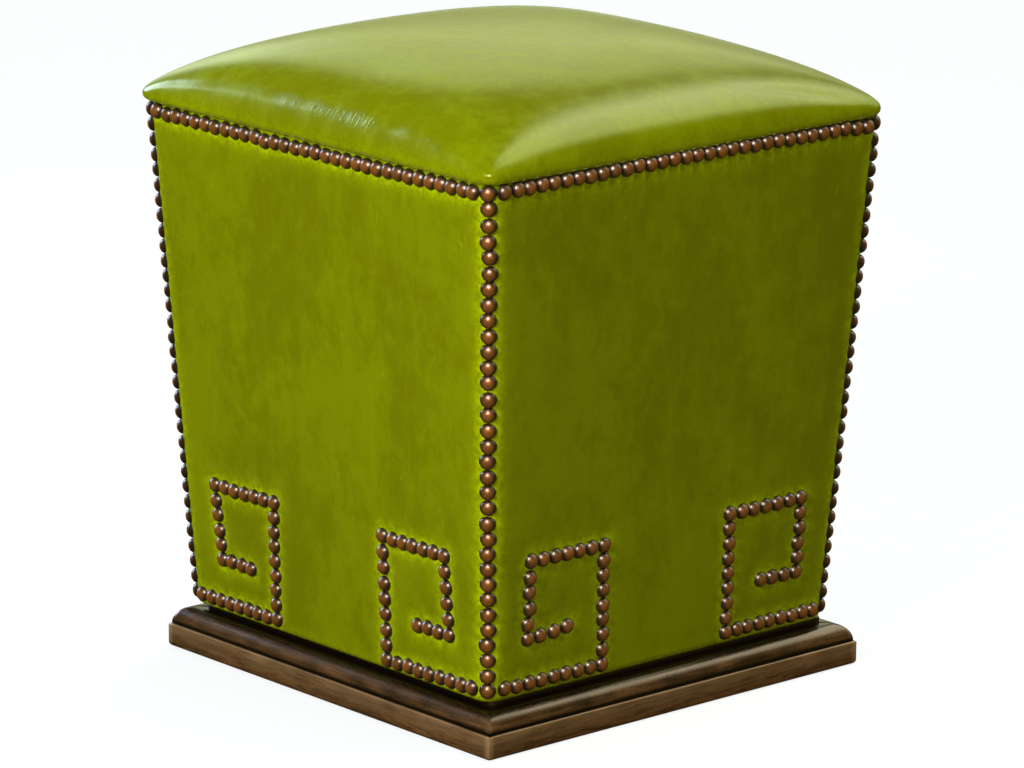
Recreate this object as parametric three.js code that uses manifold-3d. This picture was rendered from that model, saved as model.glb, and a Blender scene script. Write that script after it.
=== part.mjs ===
// Upholstered footstool: a tapered leather box with a crowned seat, rows of domed nails along its
// edges, two Greek keys of nails on each face, and a mitred wooden base.
// Millimetres, +Z up, origin on the floor under the middle of the stool, front face towards -Y.

import * as THREE from 'three';
import { mergeVertices } from 'three/addons/utils/BufferGeometryUtils.js';
import Module from 'manifold-3d';

const wasm = await Module();
wasm.setup();

// Driving dimensions of the base: the plinth stands out past the leather at its foot
const PLINTH_PROJECTION = 15.8;
const PLINTH_HEIGHT = 19.5;
const PLINTH_BOARD_WIDTH = 72;
const MOULDING_SETBACK = 2;
const MOULDING_RADIUS = 14.7;
const MOULDING_NECK_SETBACK = 4.5;
const MOULDING_NECK_HEIGHT = 5.5;

// Driving dimensions of the box, over the leather
const BODY_FOOT_WIDTH = 371.4;
const BODY_HEAD_WIDTH = 423;
const BODY_SIDE_HEIGHT = 415.2;
const CORNER_RADIUS = 14;

// Frame of the box
const POST_SIZE = 36;
const RAIL_THICKNESS = 28;
const BOTTOM_RAIL_HEIGHT = 60;
const TOP_RAIL_HEIGHT = 60;
const PANEL_THICKNESS = 6;
const DECK_THICKNESS = 9;
const FRAME_RISE = 4;

// Soft layers
const LEATHER_THICKNESS = 1.5;
const PAD_THICKNESS = 4;
const BATTING_THICKNESS = 8;
const BATTING_SKIRT_SLACK = 1.2;
const DUST_COVER_THICKNESS = 0.8;
const DUST_COVER_LAP = 9;
const DUST_COVER_CLEARANCE = 1.2;

// Seat crown and the crease between it and the top row of nails
const CROWN_HEIGHT = 56.4;
const SHOULDER_RISE = 13.5;
const SHOULDER_OVERHANG = 3.2;
const CREASE_RISE = 8;
const CREASE_DEPTH = 1;

// Nails
const NAIL_HEAD_WIDTH = 13.2;
const NAIL_HEAD_HEIGHT = 4.6;
const NAIL_BOTTOM_RISE = 9;
const NAIL_TOP_RISE = 0.9;
const NAIL_WEB_WIDTH = 3;
const NAIL_WEB_LIFT = 0.05;
const NAIL_WEB_THICKNESS = 0.25;

// Screws that hold the base to the box
const SCREW_SHANK_DIAMETER = 4.8;
const SCREW_HEAD_DIAMETER = 9.4;
const SCREW_HEAD_HEIGHT = 3.2;
const SCREW_RECESS = 1.2;
const SCREW_GRIP = 25;
const SCREW_TIP = 4;

// Clearances
const FIT_GAP = 0.3;
const OVERRUN = 5;
const FLATNESS = 0.02;

// Counts, and shares that shape the outlines
const TOP_ROW_STEPS = 33;
const COLUMN_STEPS = 32;
const KEY_FOOT_STEPS = 9;
const KEY_RISE_STEPS = 8;
const KEY_INNER_STEPS = 3;
const KEY_HOOK_LEVEL_STEPS = 3;
const KEY_HOOK_END_STEPS = 6;
const HEAD_SIDES = 6;
const ARC_SEGMENTS = 2;
const MOULDING_SEGMENTS = 6;
const ROUND_SIDES = 12;
const CROWN_SEGMENTS = 12;
const CROWN_PLAN_POWER = 2.72;
const CROWN_RISE_POWER = 0.43;
const DOME_SHOULDER_SHARES = { radius: 0.78, height: 0.6 };
const TUCK_SHARES = { overhang: 0.75, rise: 0.35 };

// Levels and half widths that follow from the dimensions
const bodyFootHalf = BODY_FOOT_WIDTH / 2;
const plinthHalf = bodyFootHalf + PLINTH_PROJECTION;
const mouldingFoot = PLINTH_HEIGHT + FIT_GAP;
const mouldingHalf = plinthHalf - MOULDING_SETBACK;
const ledgeLevel = mouldingFoot + MOULDING_RADIUS;
const neckLevel = ledgeLevel + MOULDING_NECK_HEIGHT;
const bodyFoot = neckLevel + FIT_GAP;
const seamLevel = bodyFoot + BODY_SIDE_HEIGHT;
const frameTop = seamLevel + FRAME_RISE;
const deckFoot = frameTop + FIT_GAP;
const deckTop = deckFoot + DECK_THICKNESS;
const creaseLevel = seamLevel + CREASE_RISE;
const shoulderLevel = seamLevel + SHOULDER_RISE;
const slope = (BODY_HEAD_WIDTH - BODY_FOOT_WIDTH) / 2 / BODY_SIDE_HEIGHT;
const padInset = LEATHER_THICKNESS + FIT_GAP;
const panelInset = padInset + PAD_THICKNESS + FIT_GAP;
const railInset = panelInset + PANEL_THICKNESS + FIT_GAP;
const panelHalf = bodyFootHalf - panelInset;
const postInner = panelHalf - POST_SIZE;
const railOuter = bodyFootHalf - railInset;
const railInner = railOuter - RAIL_THICKNESS;
const postRadius = CORNER_RADIUS - panelInset;
const mitreInset = FIT_GAP * Math.SQRT1_2;
const railEnd = postInner - FIT_GAP;
const dustCoverHalf = railInner + DUST_COVER_LAP;
const mouldingInner = dustCoverHalf + DUST_COVER_CLEARANCE;
const screwLine = (mouldingInner + railOuter) / 2;

const LEATHER = { color: 0x7b8c00, roughness: 0.3, metalness: 0 };
const WALNUT = { color: 0x4a3323, roughness: 0.4, metalness: 0 };
const PINE = { color: 0xc9a66b, roughness: 0.7, metalness: 0 };
const PLYWOOD = { color: 0xb78f5a, roughness: 0.7, metalness: 0 };
const FELT = { color: 0xb9b6ac, roughness: 0.95, metalness: 0 };
const FOAM = { color: 0xe9d9a2, roughness: 0.95, metalness: 0 };
const BATTING = { color: 0xf2f2ee, roughness: 0.95, metalness: 0 };
const CAMBRIC = { color: 0x141414, roughness: 0.95, metalness: 0 };
const BRONZE = { color: 0x6e4630, roughness: 0.35, metalness: 0.9 };
const STEEL = { color: 0x9a9a98, roughness: 0.35, metalness: 0.9 };

// Half width of the leather box at a level
function faceHalf(level) {
  return bodyFootHalf + (level - bodyFoot) * slope;
}

function mesh(name, geometry, finish) {
  const piece = new THREE.Mesh(geometry, new THREE.MeshStandardMaterial(finish));
  piece.name = name;
  return piece;
}

// A welded geometry as a solid for joining and cutting
function toSolid(geometry) {
  const bare = geometry.clone();
  bare.deleteAttribute('normal');
  bare.deleteAttribute('uv');
  const welded = mergeVertices(bare);
  return new wasm.Manifold(new wasm.Mesh({
    numProp: 3,
    vertProperties: new Float32Array(welded.attributes.position.array),
    triVerts: new Uint32Array(welded.index.array),
  }));
}

function toGeometry(solid) {
  const result = solid.getMesh();
  const geometry = new THREE.BufferGeometry();
  geometry.setAttribute('position', new THREE.BufferAttribute(result.vertProperties, 3));
  geometry.setIndex(new THREE.BufferAttribute(result.triVerts, 1));
  return geometry;
}

// The same solid with its flat faces merged
function tidied(solid) {
  return solid.asOriginal().simplify(FLATNESS);
}

function cut(geometry, tools) {
  let solid = toSolid(geometry);
  for (const tool of tools) {
    solid = solid.subtract(toSolid(tool));
  }
  return toGeometry(tidied(solid));
}

// Move every vertex of a geometry by a rule
function reshape(geometry, rule) {
  const places = geometry.attributes.position;
  const point = new THREE.Vector3();
  for (let i = 0; i < places.count; i += 1) {
    point.fromBufferAttribute(places, i);
    rule(point);
    places.setXYZ(i, point.x, point.y, point.z);
  }
  return geometry;
}

// A plan outline raised from one level to another
function raise(shape, low, high) {
  const geometry = new THREE.ExtrudeGeometry(shape, {
    depth: high - low,
    bevelEnabled: false,
    curveSegments: ARC_SEGMENTS,
  });
  geometry.translate(0, 0, low);
  return geometry;
}

// The box grows wider with height: each vertex moves out with its level
function lean(geometry) {
  return reshape(geometry, (point) => {
    const shift = (point.z - bodyFoot) * slope;
    point.x += Math.sign(point.x) * shift;
    point.y += Math.sign(point.y) * shift;
  });
}

function rectangle(left, right, front, back) {
  return new THREE.Shape([
    new THREE.Vector2(left, front),
    new THREE.Vector2(right, front),
    new THREE.Vector2(right, back),
    new THREE.Vector2(left, back),
  ]);
}

// A moulded length on the front side: its section, drawn outwards along x and up along y, runs
// from mitre to mitre
function mitredLength(section) {
  const geometry = new THREE.ExtrudeGeometry(section, {
    depth: BODY_FOOT_WIDTH,
    bevelEnabled: false,
    curveSegments: MOULDING_SEGMENTS,
  });
  return reshape(geometry, (point) => {
    const end = point.z > 0 ? -1 : 1;
    const out = point.x;
    point.set(end * (out - mitreInset), -out, point.y);
  });
}

function drillAt(radius, low, high) {
  const tool = new THREE.CylinderGeometry(radius, radius, high - low, ROUND_SIDES);
  tool.rotateX(Math.PI / 2);
  tool.translate(0, -screwLine, (low + high) / 2);
  return tool;
}

function screwHole(low, high) {
  return drillAt(SCREW_SHANK_DIAMETER / 2 + FIT_GAP, low, high);
}

function plinthBoard() {
  const section = rectangle(plinthHalf - PLINTH_BOARD_WIDTH, plinthHalf, 0, PLINTH_HEIGHT);
  const headSeat = SCREW_RECESS + SCREW_HEAD_HEIGHT + FIT_GAP;
  return cut(mitredLength(section), [
    screwHole(-OVERRUN, PLINTH_HEIGHT + OVERRUN),
    drillAt(SCREW_HEAD_DIAMETER / 2 + FIT_GAP, -OVERRUN, headSeat),
  ]);
}

// Quarter round with a ledge on it and a neck that carries the box
function baseMoulding() {
  const arcCentre = mouldingHalf - MOULDING_RADIUS;
  const section = new THREE.Shape();
  section.moveTo(mouldingInner, mouldingFoot);
  section.lineTo(mouldingHalf, mouldingFoot);
  section.absarc(arcCentre, mouldingFoot, MOULDING_RADIUS, 0, Math.PI / 2, false);
  section.lineTo(arcCentre - MOULDING_NECK_SETBACK, ledgeLevel);
  section.lineTo(arcCentre - MOULDING_NECK_SETBACK, neckLevel);
  section.lineTo(mouldingInner, neckLevel);
  return cut(mitredLength(section), [screwHole(mouldingFoot - OVERRUN, neckLevel + OVERRUN)]);
}

function baseScrew() {
  const shank = SCREW_SHANK_DIAMETER / 2;
  const head = SCREW_HEAD_DIAMETER / 2;
  const neck = SCREW_RECESS + SCREW_HEAD_HEIGHT;
  const tip = bodyFoot + SCREW_GRIP;
  const profile = [
    new THREE.Vector2(0, SCREW_RECESS),
    new THREE.Vector2(head, SCREW_RECESS),
    new THREE.Vector2(head, neck),
    new THREE.Vector2(shank, neck),
    new THREE.Vector2(shank, tip - SCREW_TIP),
    new THREE.Vector2(0, tip),
  ];
  const screw = new THREE.LatheGeometry(profile, ROUND_SIDES);
  screw.rotateX(Math.PI / 2);
  screw.translate(0, -screwLine, 0);
  return screw;
}

function bottomRail() {
  const rail = raise(
    rectangle(-railEnd, railEnd, -railOuter, -railInner), bodyFoot, bodyFoot + BOTTOM_RAIL_HEIGHT);
  return cut(lean(rail), [screwHole(bodyFoot - OVERRUN, bodyFoot + SCREW_GRIP + FIT_GAP)]);
}

function topRail() {
  return lean(raise(
    rectangle(-railEnd, railEnd, -railOuter, -railInner), frameTop - TOP_RAIL_HEIGHT, frameTop));
}

function sidePanel() {
  const back = railOuter + FIT_GAP;
  return lean(raise(rectangle(-railEnd, railEnd, -panelHalf, -back), bodyFoot, frameTop));
}

// Square post with its outer edge rounded, in the corner between the front and the right side
function cornerPost() {
  const centre = panelHalf - postRadius;
  const outline = new THREE.Shape();
  outline.moveTo(postInner, -postInner);
  outline.lineTo(postInner, -panelHalf);
  outline.absarc(centre, -centre, postRadius, -Math.PI / 2, 0, false);
  outline.lineTo(panelHalf, -postInner);
  return lean(raise(outline, bodyFoot, frameTop));
}

// A layer that covers the front and turns each corner as far as the diagonal
function wrappedLayer(inset, thickness, high) {
  const half = bodyFootHalf - inset;
  const radius = CORNER_RADIUS - inset;
  const centre = half - radius;
  const trim = FIT_GAP / 2 / radius;
  const right = -Math.PI / 4 - trim;
  const left = -Math.PI + Math.PI / 4 + trim;
  const front = -Math.PI / 2;
  const outline = new THREE.Shape();
  outline.absarc(centre, -centre, radius, right, front, true);
  outline.absarc(-centre, -centre, radius, front, left, true);
  outline.absarc(-centre, -centre, radius - thickness, left, front, false);
  outline.absarc(centre, -centre, radius - thickness, front, right, false);
  return lean(raise(outline, bodyFoot, high));
}

function seatDeck() {
  const centre = panelHalf - postRadius;
  const outline = new THREE.Shape();
  outline.absarc(centre, -centre, postRadius, -Math.PI / 2, 0, false);
  outline.absarc(centre, centre, postRadius, 0, Math.PI / 2, false);
  outline.absarc(-centre, centre, postRadius, Math.PI / 2, Math.PI, false);
  outline.absarc(-centre, -centre, postRadius, Math.PI, Math.PI + Math.PI / 2, false);
  return lean(raise(outline, deckFoot, deckTop));
}

function dustCover() {
  const half = dustCoverHalf;
  const high = bodyFoot - FIT_GAP;
  return raise(rectangle(-half, half, -half, half), high - DUST_COVER_THICKNESS, high);
}

// A place on a square plan whose corners are rounded
function roundedPlace(across, along, half, radius) {
  const reach = Math.max(Math.abs(across), Math.abs(along));
  if (reach === 0) {
    return new THREE.Vector2(0, 0);
  }
  const straight = half - radius;
  const place = new THREE.Vector2(across, along).multiplyScalar(half / reach);
  const inner = place.clone().clampScalar(-straight, straight);
  const arm = place.sub(inner).setLength(radius);
  return inner.add(arm).multiplyScalar(reach);
}

// Share of the crown's height over a place on the plan, from 0 at the shoulder to 1 in the middle
function crownShare(across, along) {
  const fall = (1 - Math.abs(across) ** CROWN_PLAN_POWER) * (1 - Math.abs(along) ** CROWN_PLAN_POWER);
  return Math.max(fall, 0) ** CROWN_RISE_POWER;
}

// The seat's outside, or a layer inside it: a crown on a shoulder, drawn in at the crease, with
// straight sides from there to the foot
function cushionSolid({ sideInset, crownInset, crease, foot }) {
  const tuckRise = CREASE_RISE + (SHOULDER_RISE - CREASE_RISE) * TUCK_SHARES.rise;
  const rings = [
    { level: foot, out: crease * (seamLevel - foot) / CREASE_RISE },
    { level: creaseLevel, out: -crease },
    { level: seamLevel + tuckRise, out: SHOULDER_OVERHANG * TUCK_SHARES.overhang },
    { level: shoulderLevel, out: SHOULDER_OVERHANG },
  ];
  const steps = rings.length - 1;
  const box = new THREE.BoxGeometry(1, 1, steps, CROWN_SEGMENTS, CROWN_SEGMENTS, steps);
  return reshape(box, (point) => {
    const across = Math.sin(point.x * Math.PI);
    const along = Math.sin(point.y * Math.PI);
    const ring = rings[Math.round(point.z + steps / 2)];
    const half = faceHalf(ring.level) + ring.out - sideInset;
    const place = roundedPlace(across, along, half, CORNER_RADIUS - sideInset);
    const onTop = ring === rings[steps];
    const crown = onTop ? (CROWN_HEIGHT - crownInset) * crownShare(across, along) : 0;
    point.set(place.x, place.y, ring.level + crown);
  });
}

function leatherTop() {
  const outside = cushionSolid({ sideInset: 0, crownInset: 0, crease: CREASE_DEPTH, foot: seamLevel });
  const inside = cushionSolid({
    sideInset: LEATHER_THICKNESS,
    crownInset: LEATHER_THICKNESS,
    crease: CREASE_DEPTH,
    foot: seamLevel - OVERRUN,
  });
  return cut(outside, [inside]);
}

function seatBatting() {
  const outside = cushionSolid({
    sideInset: padInset,
    crownInset: padInset,
    crease: CREASE_DEPTH,
    foot: seamLevel,
  });
  const inside = cushionSolid({
    sideInset: padInset + PAD_THICKNESS - BATTING_SKIRT_SLACK,
    crownInset: padInset + BATTING_THICKNESS,
    crease: 0,
    foot: seamLevel - OVERRUN,
  });
  return cut(outside, [inside]);
}

function seatFoam() {
  const inset = padInset + BATTING_THICKNESS + FIT_GAP;
  const whole = cushionSolid({
    sideInset: panelInset,
    crownInset: inset,
    crease: 0,
    foot: seamLevel,
  });
  const reach = faceHalf(shoulderLevel) + OVERRUN;
  const below = raise(rectangle(-reach, reach, -reach, reach), seamLevel - OVERRUN, deckTop + FIT_GAP);
  return cut(whole, [below]);
}

// The places where nails go are given on the front face, which leans outwards
const faceNormal = new THREE.Vector3(0, -1, -slope).normalize();
const faceUp = new THREE.Vector3(0, -slope, 1).normalize();
const faceRight = new THREE.Vector3(1, 0, 0);
const edgeNormal = new THREE.Vector3(1, -1, -2 * slope).normalize();
const edgeUp = new THREE.Vector3(slope, -slope, 1).normalize();
const bottomNailLevel = bodyFoot + NAIL_BOTTOM_RISE;
const topNailLevel = seamLevel + NAIL_TOP_RISE;
const nailRise = (topNailLevel - bottomNailLevel) / COLUMN_STEPS;
const edgeInset = CORNER_RADIUS - CORNER_RADIUS * Math.SQRT1_2;

function facePlace(across, level) {
  return new THREE.Vector3(across, -faceHalf(level), level).addScaledVector(faceNormal, FIT_GAP);
}

function edgePlace(level) {
  const half = faceHalf(level) - edgeInset;
  return new THREE.Vector3(half, -half, level).addScaledVector(edgeNormal, FIT_GAP);
}

// A head is a low dome whose flats face its neighbours in the row
function nailHead(place, normal, along) {
  const corner = NAIL_HEAD_WIDTH / 2 / Math.cos(Math.PI / HEAD_SIDES);
  const profile = [
    new THREE.Vector2(0, 0),
    new THREE.Vector2(corner, 0),
    new THREE.Vector2(corner * DOME_SHOULDER_SHARES.radius, NAIL_HEAD_HEIGHT * DOME_SHOULDER_SHARES.height),
    new THREE.Vector2(0, NAIL_HEAD_HEIGHT),
  ];
  const head = new THREE.LatheGeometry(profile, HEAD_SIDES);
  const side = new THREE.Vector3().crossVectors(along, normal);
  head.applyMatrix4(new THREE.Matrix4().makeBasis(along, normal, side).setPosition(place));
  return head;
}

// A thin web under the heads keeps a row in one piece
function nailWeb(start, end, normal) {
  const along = new THREE.Vector3().subVectors(end, start);
  const web = new THREE.BoxGeometry(along.length(), NAIL_WEB_THICKNESS, NAIL_WEB_WIDTH);
  web.translate(0, NAIL_WEB_LIFT + NAIL_WEB_THICKNESS / 2, 0);
  const middle = new THREE.Vector3().addVectors(start, end).divideScalar(2);
  along.normalize();
  const side = new THREE.Vector3().crossVectors(along, normal);
  web.applyMatrix4(new THREE.Matrix4().makeBasis(along, normal, side).setPosition(middle));
  return web;
}

// A run of nails goes from its first place to its last in equal steps
function nailRun(first, last, steps, normal, skip) {
  const along = new THREE.Vector3().subVectors(last, first).normalize();
  const pieces = [nailWeb(first, last, normal)];
  for (let i = skip; i <= steps; i += 1) {
    const place = new THREE.Vector3().lerpVectors(first, last, i / steps);
    pieces.push(nailHead(place, normal, along));
  }
  return pieces;
}

function joined(pieces) {
  return toGeometry(tidied(wasm.Manifold.union(pieces.map(toSolid))));
}

function topNailRow() {
  const end = faceHalf(topNailLevel) - edgeInset;
  const step = 2 * end / TOP_ROW_STEPS;
  const first = facePlace(step - end, topNailLevel);
  const last = facePlace(end - step, topNailLevel);
  return joined(nailRun(first, last, TOP_ROW_STEPS - 2, faceNormal, 0));
}

function cornerNails() {
  return joined(nailRun(edgePlace(bottomNailLevel), edgePlace(topNailLevel), COLUMN_STEPS, edgeNormal, 0));
}

// One Greek key, on the right half of the front, its columns square to its foot: along the foot, up,
// back, down and in to a hook
function nailKey() {
  const cornerColumn = faceHalf(bottomNailLevel) - edgeInset;
  const place = (column, row) => {
    return facePlace(cornerColumn - column * nailRise, bottomNailLevel + row * nailRise);
  };
  const turns = [
    [1, 0],
    [KEY_FOOT_STEPS, 0],
    [KEY_FOOT_STEPS, KEY_RISE_STEPS],
    [KEY_INNER_STEPS, KEY_RISE_STEPS],
    [KEY_INNER_STEPS, KEY_HOOK_LEVEL_STEPS],
    [KEY_HOOK_END_STEPS, KEY_HOOK_LEVEL_STEPS],
  ];
  const pieces = [];
  for (let i = 1; i < turns.length; i += 1) {
    const [fromColumn, fromRow] = turns[i - 1];
    const [toColumn, toRow] = turns[i];
    const steps = Math.abs(toColumn - fromColumn) + Math.abs(toRow - fromRow);
    const skip = i === 1 ? 0 : 1;
    pieces.push(...nailRun(place(fromColumn, fromRow), place(toColumn, toRow), steps, faceNormal, skip));
  }
  return joined(pieces);
}

function mirrored(geometry) {
  return toGeometry(toSolid(geometry).mirror([1, 0, 0]));
}

// The four sides are alike, each turned a quarter from the one before
function buildSide(name, quarter) {
  const side = new THREE.Group();
  side.rotation.z = quarter * Math.PI / 2;
  const key = nailKey();
  side.add(
    mesh(`plinth_board_${name}`, plinthBoard(), WALNUT),
    mesh(`base_moulding_${name}`, baseMoulding(), WALNUT),
    mesh(`base_screw_${name}`, baseScrew(), STEEL),
    mesh(`bottom_rail_${name}`, bottomRail(), PINE),
    mesh(`top_rail_${name}`, topRail(), PINE),
    mesh(`side_panel_${name}`, sidePanel(), PLYWOOD),
    mesh(`side_pad_${name}`, wrappedLayer(padInset, PAD_THICKNESS, seamLevel - FIT_GAP), FELT),
    mesh(`leather_side_${name}`, wrappedLayer(0, LEATHER_THICKNESS, seamLevel - FIT_GAP), LEATHER),
    mesh(`top_nails_${name}`, topNailRow(), BRONZE),
    mesh(`nail_key_${name}_a`, mirrored(key), BRONZE),
    mesh(`nail_key_${name}_b`, key, BRONZE),
  );
  return side;
}

function buildCorner(name, quarter) {
  const corner = new THREE.Group();
  corner.rotation.z = quarter * Math.PI / 2;
  corner.add(
    mesh(`corner_post_${name}`, cornerPost(), PINE),
    mesh(`corner_nails_${name}`, cornerNails(), BRONZE),
  );
  return corner;
}

function buildSeat() {
  const seat = new THREE.Group();
  seat.add(
    mesh('seat_deck', seatDeck(), PLYWOOD),
    mesh('seat_foam', seatFoam(), FOAM),
    mesh('seat_batting', seatBatting(), BATTING),
    mesh('leather_top', leatherTop(), LEATHER),
  );
  return seat;
}

const footstool = new THREE.Group();
['front', 'right', 'back', 'left'].forEach((name, quarter) => footstool.add(buildSide(name, quarter)));
['front_right', 'back_right', 'back_left', 'front_left'].forEach((name, quarter) => {
  footstool.add(buildCorner(name, quarter));
});
footstool.add(buildSeat(), mesh('dust_cover', dustCover(), CAMBRIC));

export default footstool;
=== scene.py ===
"""Looks of a square tapered footstool: green leather over a box, bronze nails and a moulded walnut base.

Metres, +Z up, front face towards -Y. The four sides are alike, so each side is made facing the front and
turned by quarters about the middle.
"""

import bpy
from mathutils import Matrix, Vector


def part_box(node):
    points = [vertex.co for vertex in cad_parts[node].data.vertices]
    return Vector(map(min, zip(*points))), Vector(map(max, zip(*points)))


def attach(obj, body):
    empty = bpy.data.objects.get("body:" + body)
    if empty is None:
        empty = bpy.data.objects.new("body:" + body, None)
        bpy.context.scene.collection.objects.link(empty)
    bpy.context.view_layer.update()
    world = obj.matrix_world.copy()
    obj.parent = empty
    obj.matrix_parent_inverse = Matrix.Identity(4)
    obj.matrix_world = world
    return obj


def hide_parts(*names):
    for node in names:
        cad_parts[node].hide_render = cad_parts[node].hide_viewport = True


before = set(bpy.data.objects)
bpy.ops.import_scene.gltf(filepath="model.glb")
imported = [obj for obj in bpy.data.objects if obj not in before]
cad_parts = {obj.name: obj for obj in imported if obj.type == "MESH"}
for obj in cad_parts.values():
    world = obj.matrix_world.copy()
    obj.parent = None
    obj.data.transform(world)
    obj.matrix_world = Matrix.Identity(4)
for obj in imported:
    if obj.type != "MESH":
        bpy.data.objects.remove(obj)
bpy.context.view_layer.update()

import logging
import math
import random
from collections.abc import Callable, Sequence
from dataclasses import dataclass
from enum import Enum

import bmesh
import bpy
import numpy as np
from mathutils import Matrix, Vector, noise

MM = 0.001
GAP = 0.3 * MM  # between pieces that are glued or stapled together
TOUCH = 0.01 * MM  # two places this near count as one
SQUARE = 0.01  # two directions this near count as one
BODY = "root"
SMOOTH_ANGLE = math.radians(40)  # sharper edges stay sharp
QUARTER = math.pi / 2
CUT_CORNER = 1 - math.sqrt(0.5)  # how far a rounded corner lies inside a square one, for a radius of 1

log = logging.getLogger("footstool")

Socket = bpy.types.NodeSocket
Colour = tuple[float, float, float]


class Side(Enum):
    """The four sides, by the quarter turn that brings the front to each."""

    FRONT = 0
    RIGHT = 1
    BACK = 2
    LEFT = 3

    @property
    def label(self) -> str:
        """The word that ends the names of this side's pieces."""
        return self.name.lower()

    @property
    def corner(self) -> str:
        """The name of the corner between this side and the next."""
        return ("front_right", "back_right", "back_left", "front_left")[self.value]

    @property
    def turn(self) -> Matrix:
        """The turn that brings a piece made at the front to this side."""
        return Matrix.Rotation(self.value * QUARTER, 4, "Z")

    @property
    def runs_along_x(self) -> bool:
        """Whether the side's length lies along X."""
        return self.value % 2 == 0


class Hand(Enum):
    """The two halves of a side, seen from outside."""

    A = -1
    B = 1


# Shared mesh work


def to_mesh(name: str, form: bmesh.types.BMesh) -> bpy.types.Mesh:
    """Makes a mesh of a form.

    Args:
        name: The mesh's name.
        form: The form, which is freed.

    Returns:
        The mesh.
    """
    data = bpy.data.meshes.new(name)
    form.to_mesh(data)
    form.free()
    return data


def link(name: str, data: bpy.types.ID) -> bpy.types.Object:
    """Makes an object and links it to the scene.

    Args:
        name: The object's name.
        data: Its mesh, lamp or camera.

    Returns:
        The object.
    """
    made = bpy.data.objects.new(name, data)
    bpy.context.scene.collection.objects.link(made)
    return made


def new_piece(
    name: str, form: bmesh.types.BMesh, finish: bpy.types.Material, slot: str, node: str | None
) -> bpy.types.Object:
    """Makes a piece of a finished form, gives it its finish and sets it on the stool.

    Args:
        name: The piece's name.
        form: The form, which is freed.
        finish: The piece's material.
        slot: A material slot's name for it; not used.
        node: The frame's node that the piece replaces, or None.

    Returns:
        The new object, at the origin.
    """
    data = to_mesh(name, form)
    piece = link(name, data)
    data.materials.append(finish)
    data.shade_smooth()
    data.set_sharp_from_angle(angle=SMOOTH_ANGLE)
    if node is not None:
        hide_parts(node)
    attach(piece, BODY)
    log.info("%s: %d faces, replaces %s", name, len(data.polygons), node or "nothing")
    return piece


def unit_slab(columns: int, rows: int) -> bmesh.types.BMesh:
    """A flat slab from -1 to 1 along X and Y, with its top at 0 and its underside at -1.

    Args:
        columns: Faces along X.
        rows: Faces along Y.

    Returns:
        The slab, to be reshaped by a rule.
    """
    form = bmesh.new()
    bmesh.ops.create_grid(form, x_segments=columns, y_segments=rows, size=1)
    bmesh.ops.solidify(form, geom=form.faces[:], thickness=1)
    lowest = min(vert.co.z for vert in form.verts)
    highest = max(vert.co.z for vert in form.verts)
    for vert in form.verts:
        vert.co.z = (vert.co.z - highest) / (highest - lowest)
    return form


def reshape(form: bmesh.types.BMesh, rule: Callable[[np.ndarray], np.ndarray]) -> None:
    """Moves every vertex of a form by a rule that works on all of them at once.

    Args:
        form: The form.
        rule: Takes the vertices' places, one in each row, and gives their new places.
    """
    places = np.array([vert.co for vert in form.verts])
    for vert, place in zip(form.verts, rule(places)):
        vert.co = place
    bmesh.ops.recalc_face_normals(form, faces=form.faces[:])


def mark(form: bmesh.types.BMesh, name: str, values: Sequence[float]) -> None:
    """Gives each vertex a number that a finish can read.

    Args:
        form: The form.
        name: The attribute's name.
        values: One number for each vertex.
    """
    layer = form.verts.layers.float.new(name)
    for vert, value in zip(form.verts, values):
        vert[layer] = float(value)


def saw(
    form: bmesh.types.BMesh, place: Sequence[float], normal: Sequence[float], clear: bool = False
) -> None:
    """Cuts a form along a plane.

    Args:
        form: The form.
        place: A point of the plane.
        normal: The plane's normal.
        clear: Whether what lies beyond the plane is taken off and the cut is closed.
    """
    geometry = form.verts[:] + form.edges[:] + form.faces[:]
    bmesh.ops.bisect_plane(form, geom=geometry, plane_co=place, plane_no=normal, clear_outer=clear)
    if clear:
        bmesh.ops.holes_fill(form, edges=[edge for edge in form.edges if edge.is_boundary])


def bevel(form: bmesh.types.BMesh, edges: Sequence[bmesh.types.BMEdge], width: float, segments: int) -> None:
    """Rounds edges of a form.

    Args:
        form: The form.
        edges: The edges.
        width: How far the rounding reaches from each edge.
        segments: Faces round it.
    """
    bmesh.ops.bevel(
        form, geom=edges, offset=width, offset_type="OFFSET", affect="EDGES", segments=segments,
        profile=0.5, material=-1,
    )


def ripple(across: np.ndarray, along: np.ndarray, waves: tuple[float, float], seed: float) -> np.ndarray:
    """Smooth noise from about -1 to 1 at pairs of places, with waves of these lengths across and along."""
    first, second = across / waves[0], along / waves[1]
    return np.array([noise.noise((a, b, seed)) for a, b in zip(first, second)])


def carve(form: bmesh.types.BMesh, tool: bmesh.types.BMesh) -> bmesh.types.BMesh:
    """Cuts a tool's shape out of a form.

    Args:
        form: The form, which is freed.
        tool: The tool, which is freed.

    Returns:
        The cut form.
    """
    solids = []
    for name, source in (("blank", form), ("tool", tool)):
        solids.append(link(name, to_mesh(name, source)))
    cut = solids[0].modifiers.new("cut", "BOOLEAN")
    cut.operation = "DIFFERENCE"
    cut.solver = "EXACT"
    cut.object = solids[1]
    bpy.context.view_layer.update()
    result = solids[0].evaluated_get(bpy.context.evaluated_depsgraph_get())
    carved = bmesh.new()
    carved.from_mesh(result.to_mesh())
    result.to_mesh_clear()
    for solid in solids:
        data = solid.data
        bpy.data.objects.remove(solid)
        bpy.data.meshes.remove(data)
    return carved


# Finishes


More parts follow.
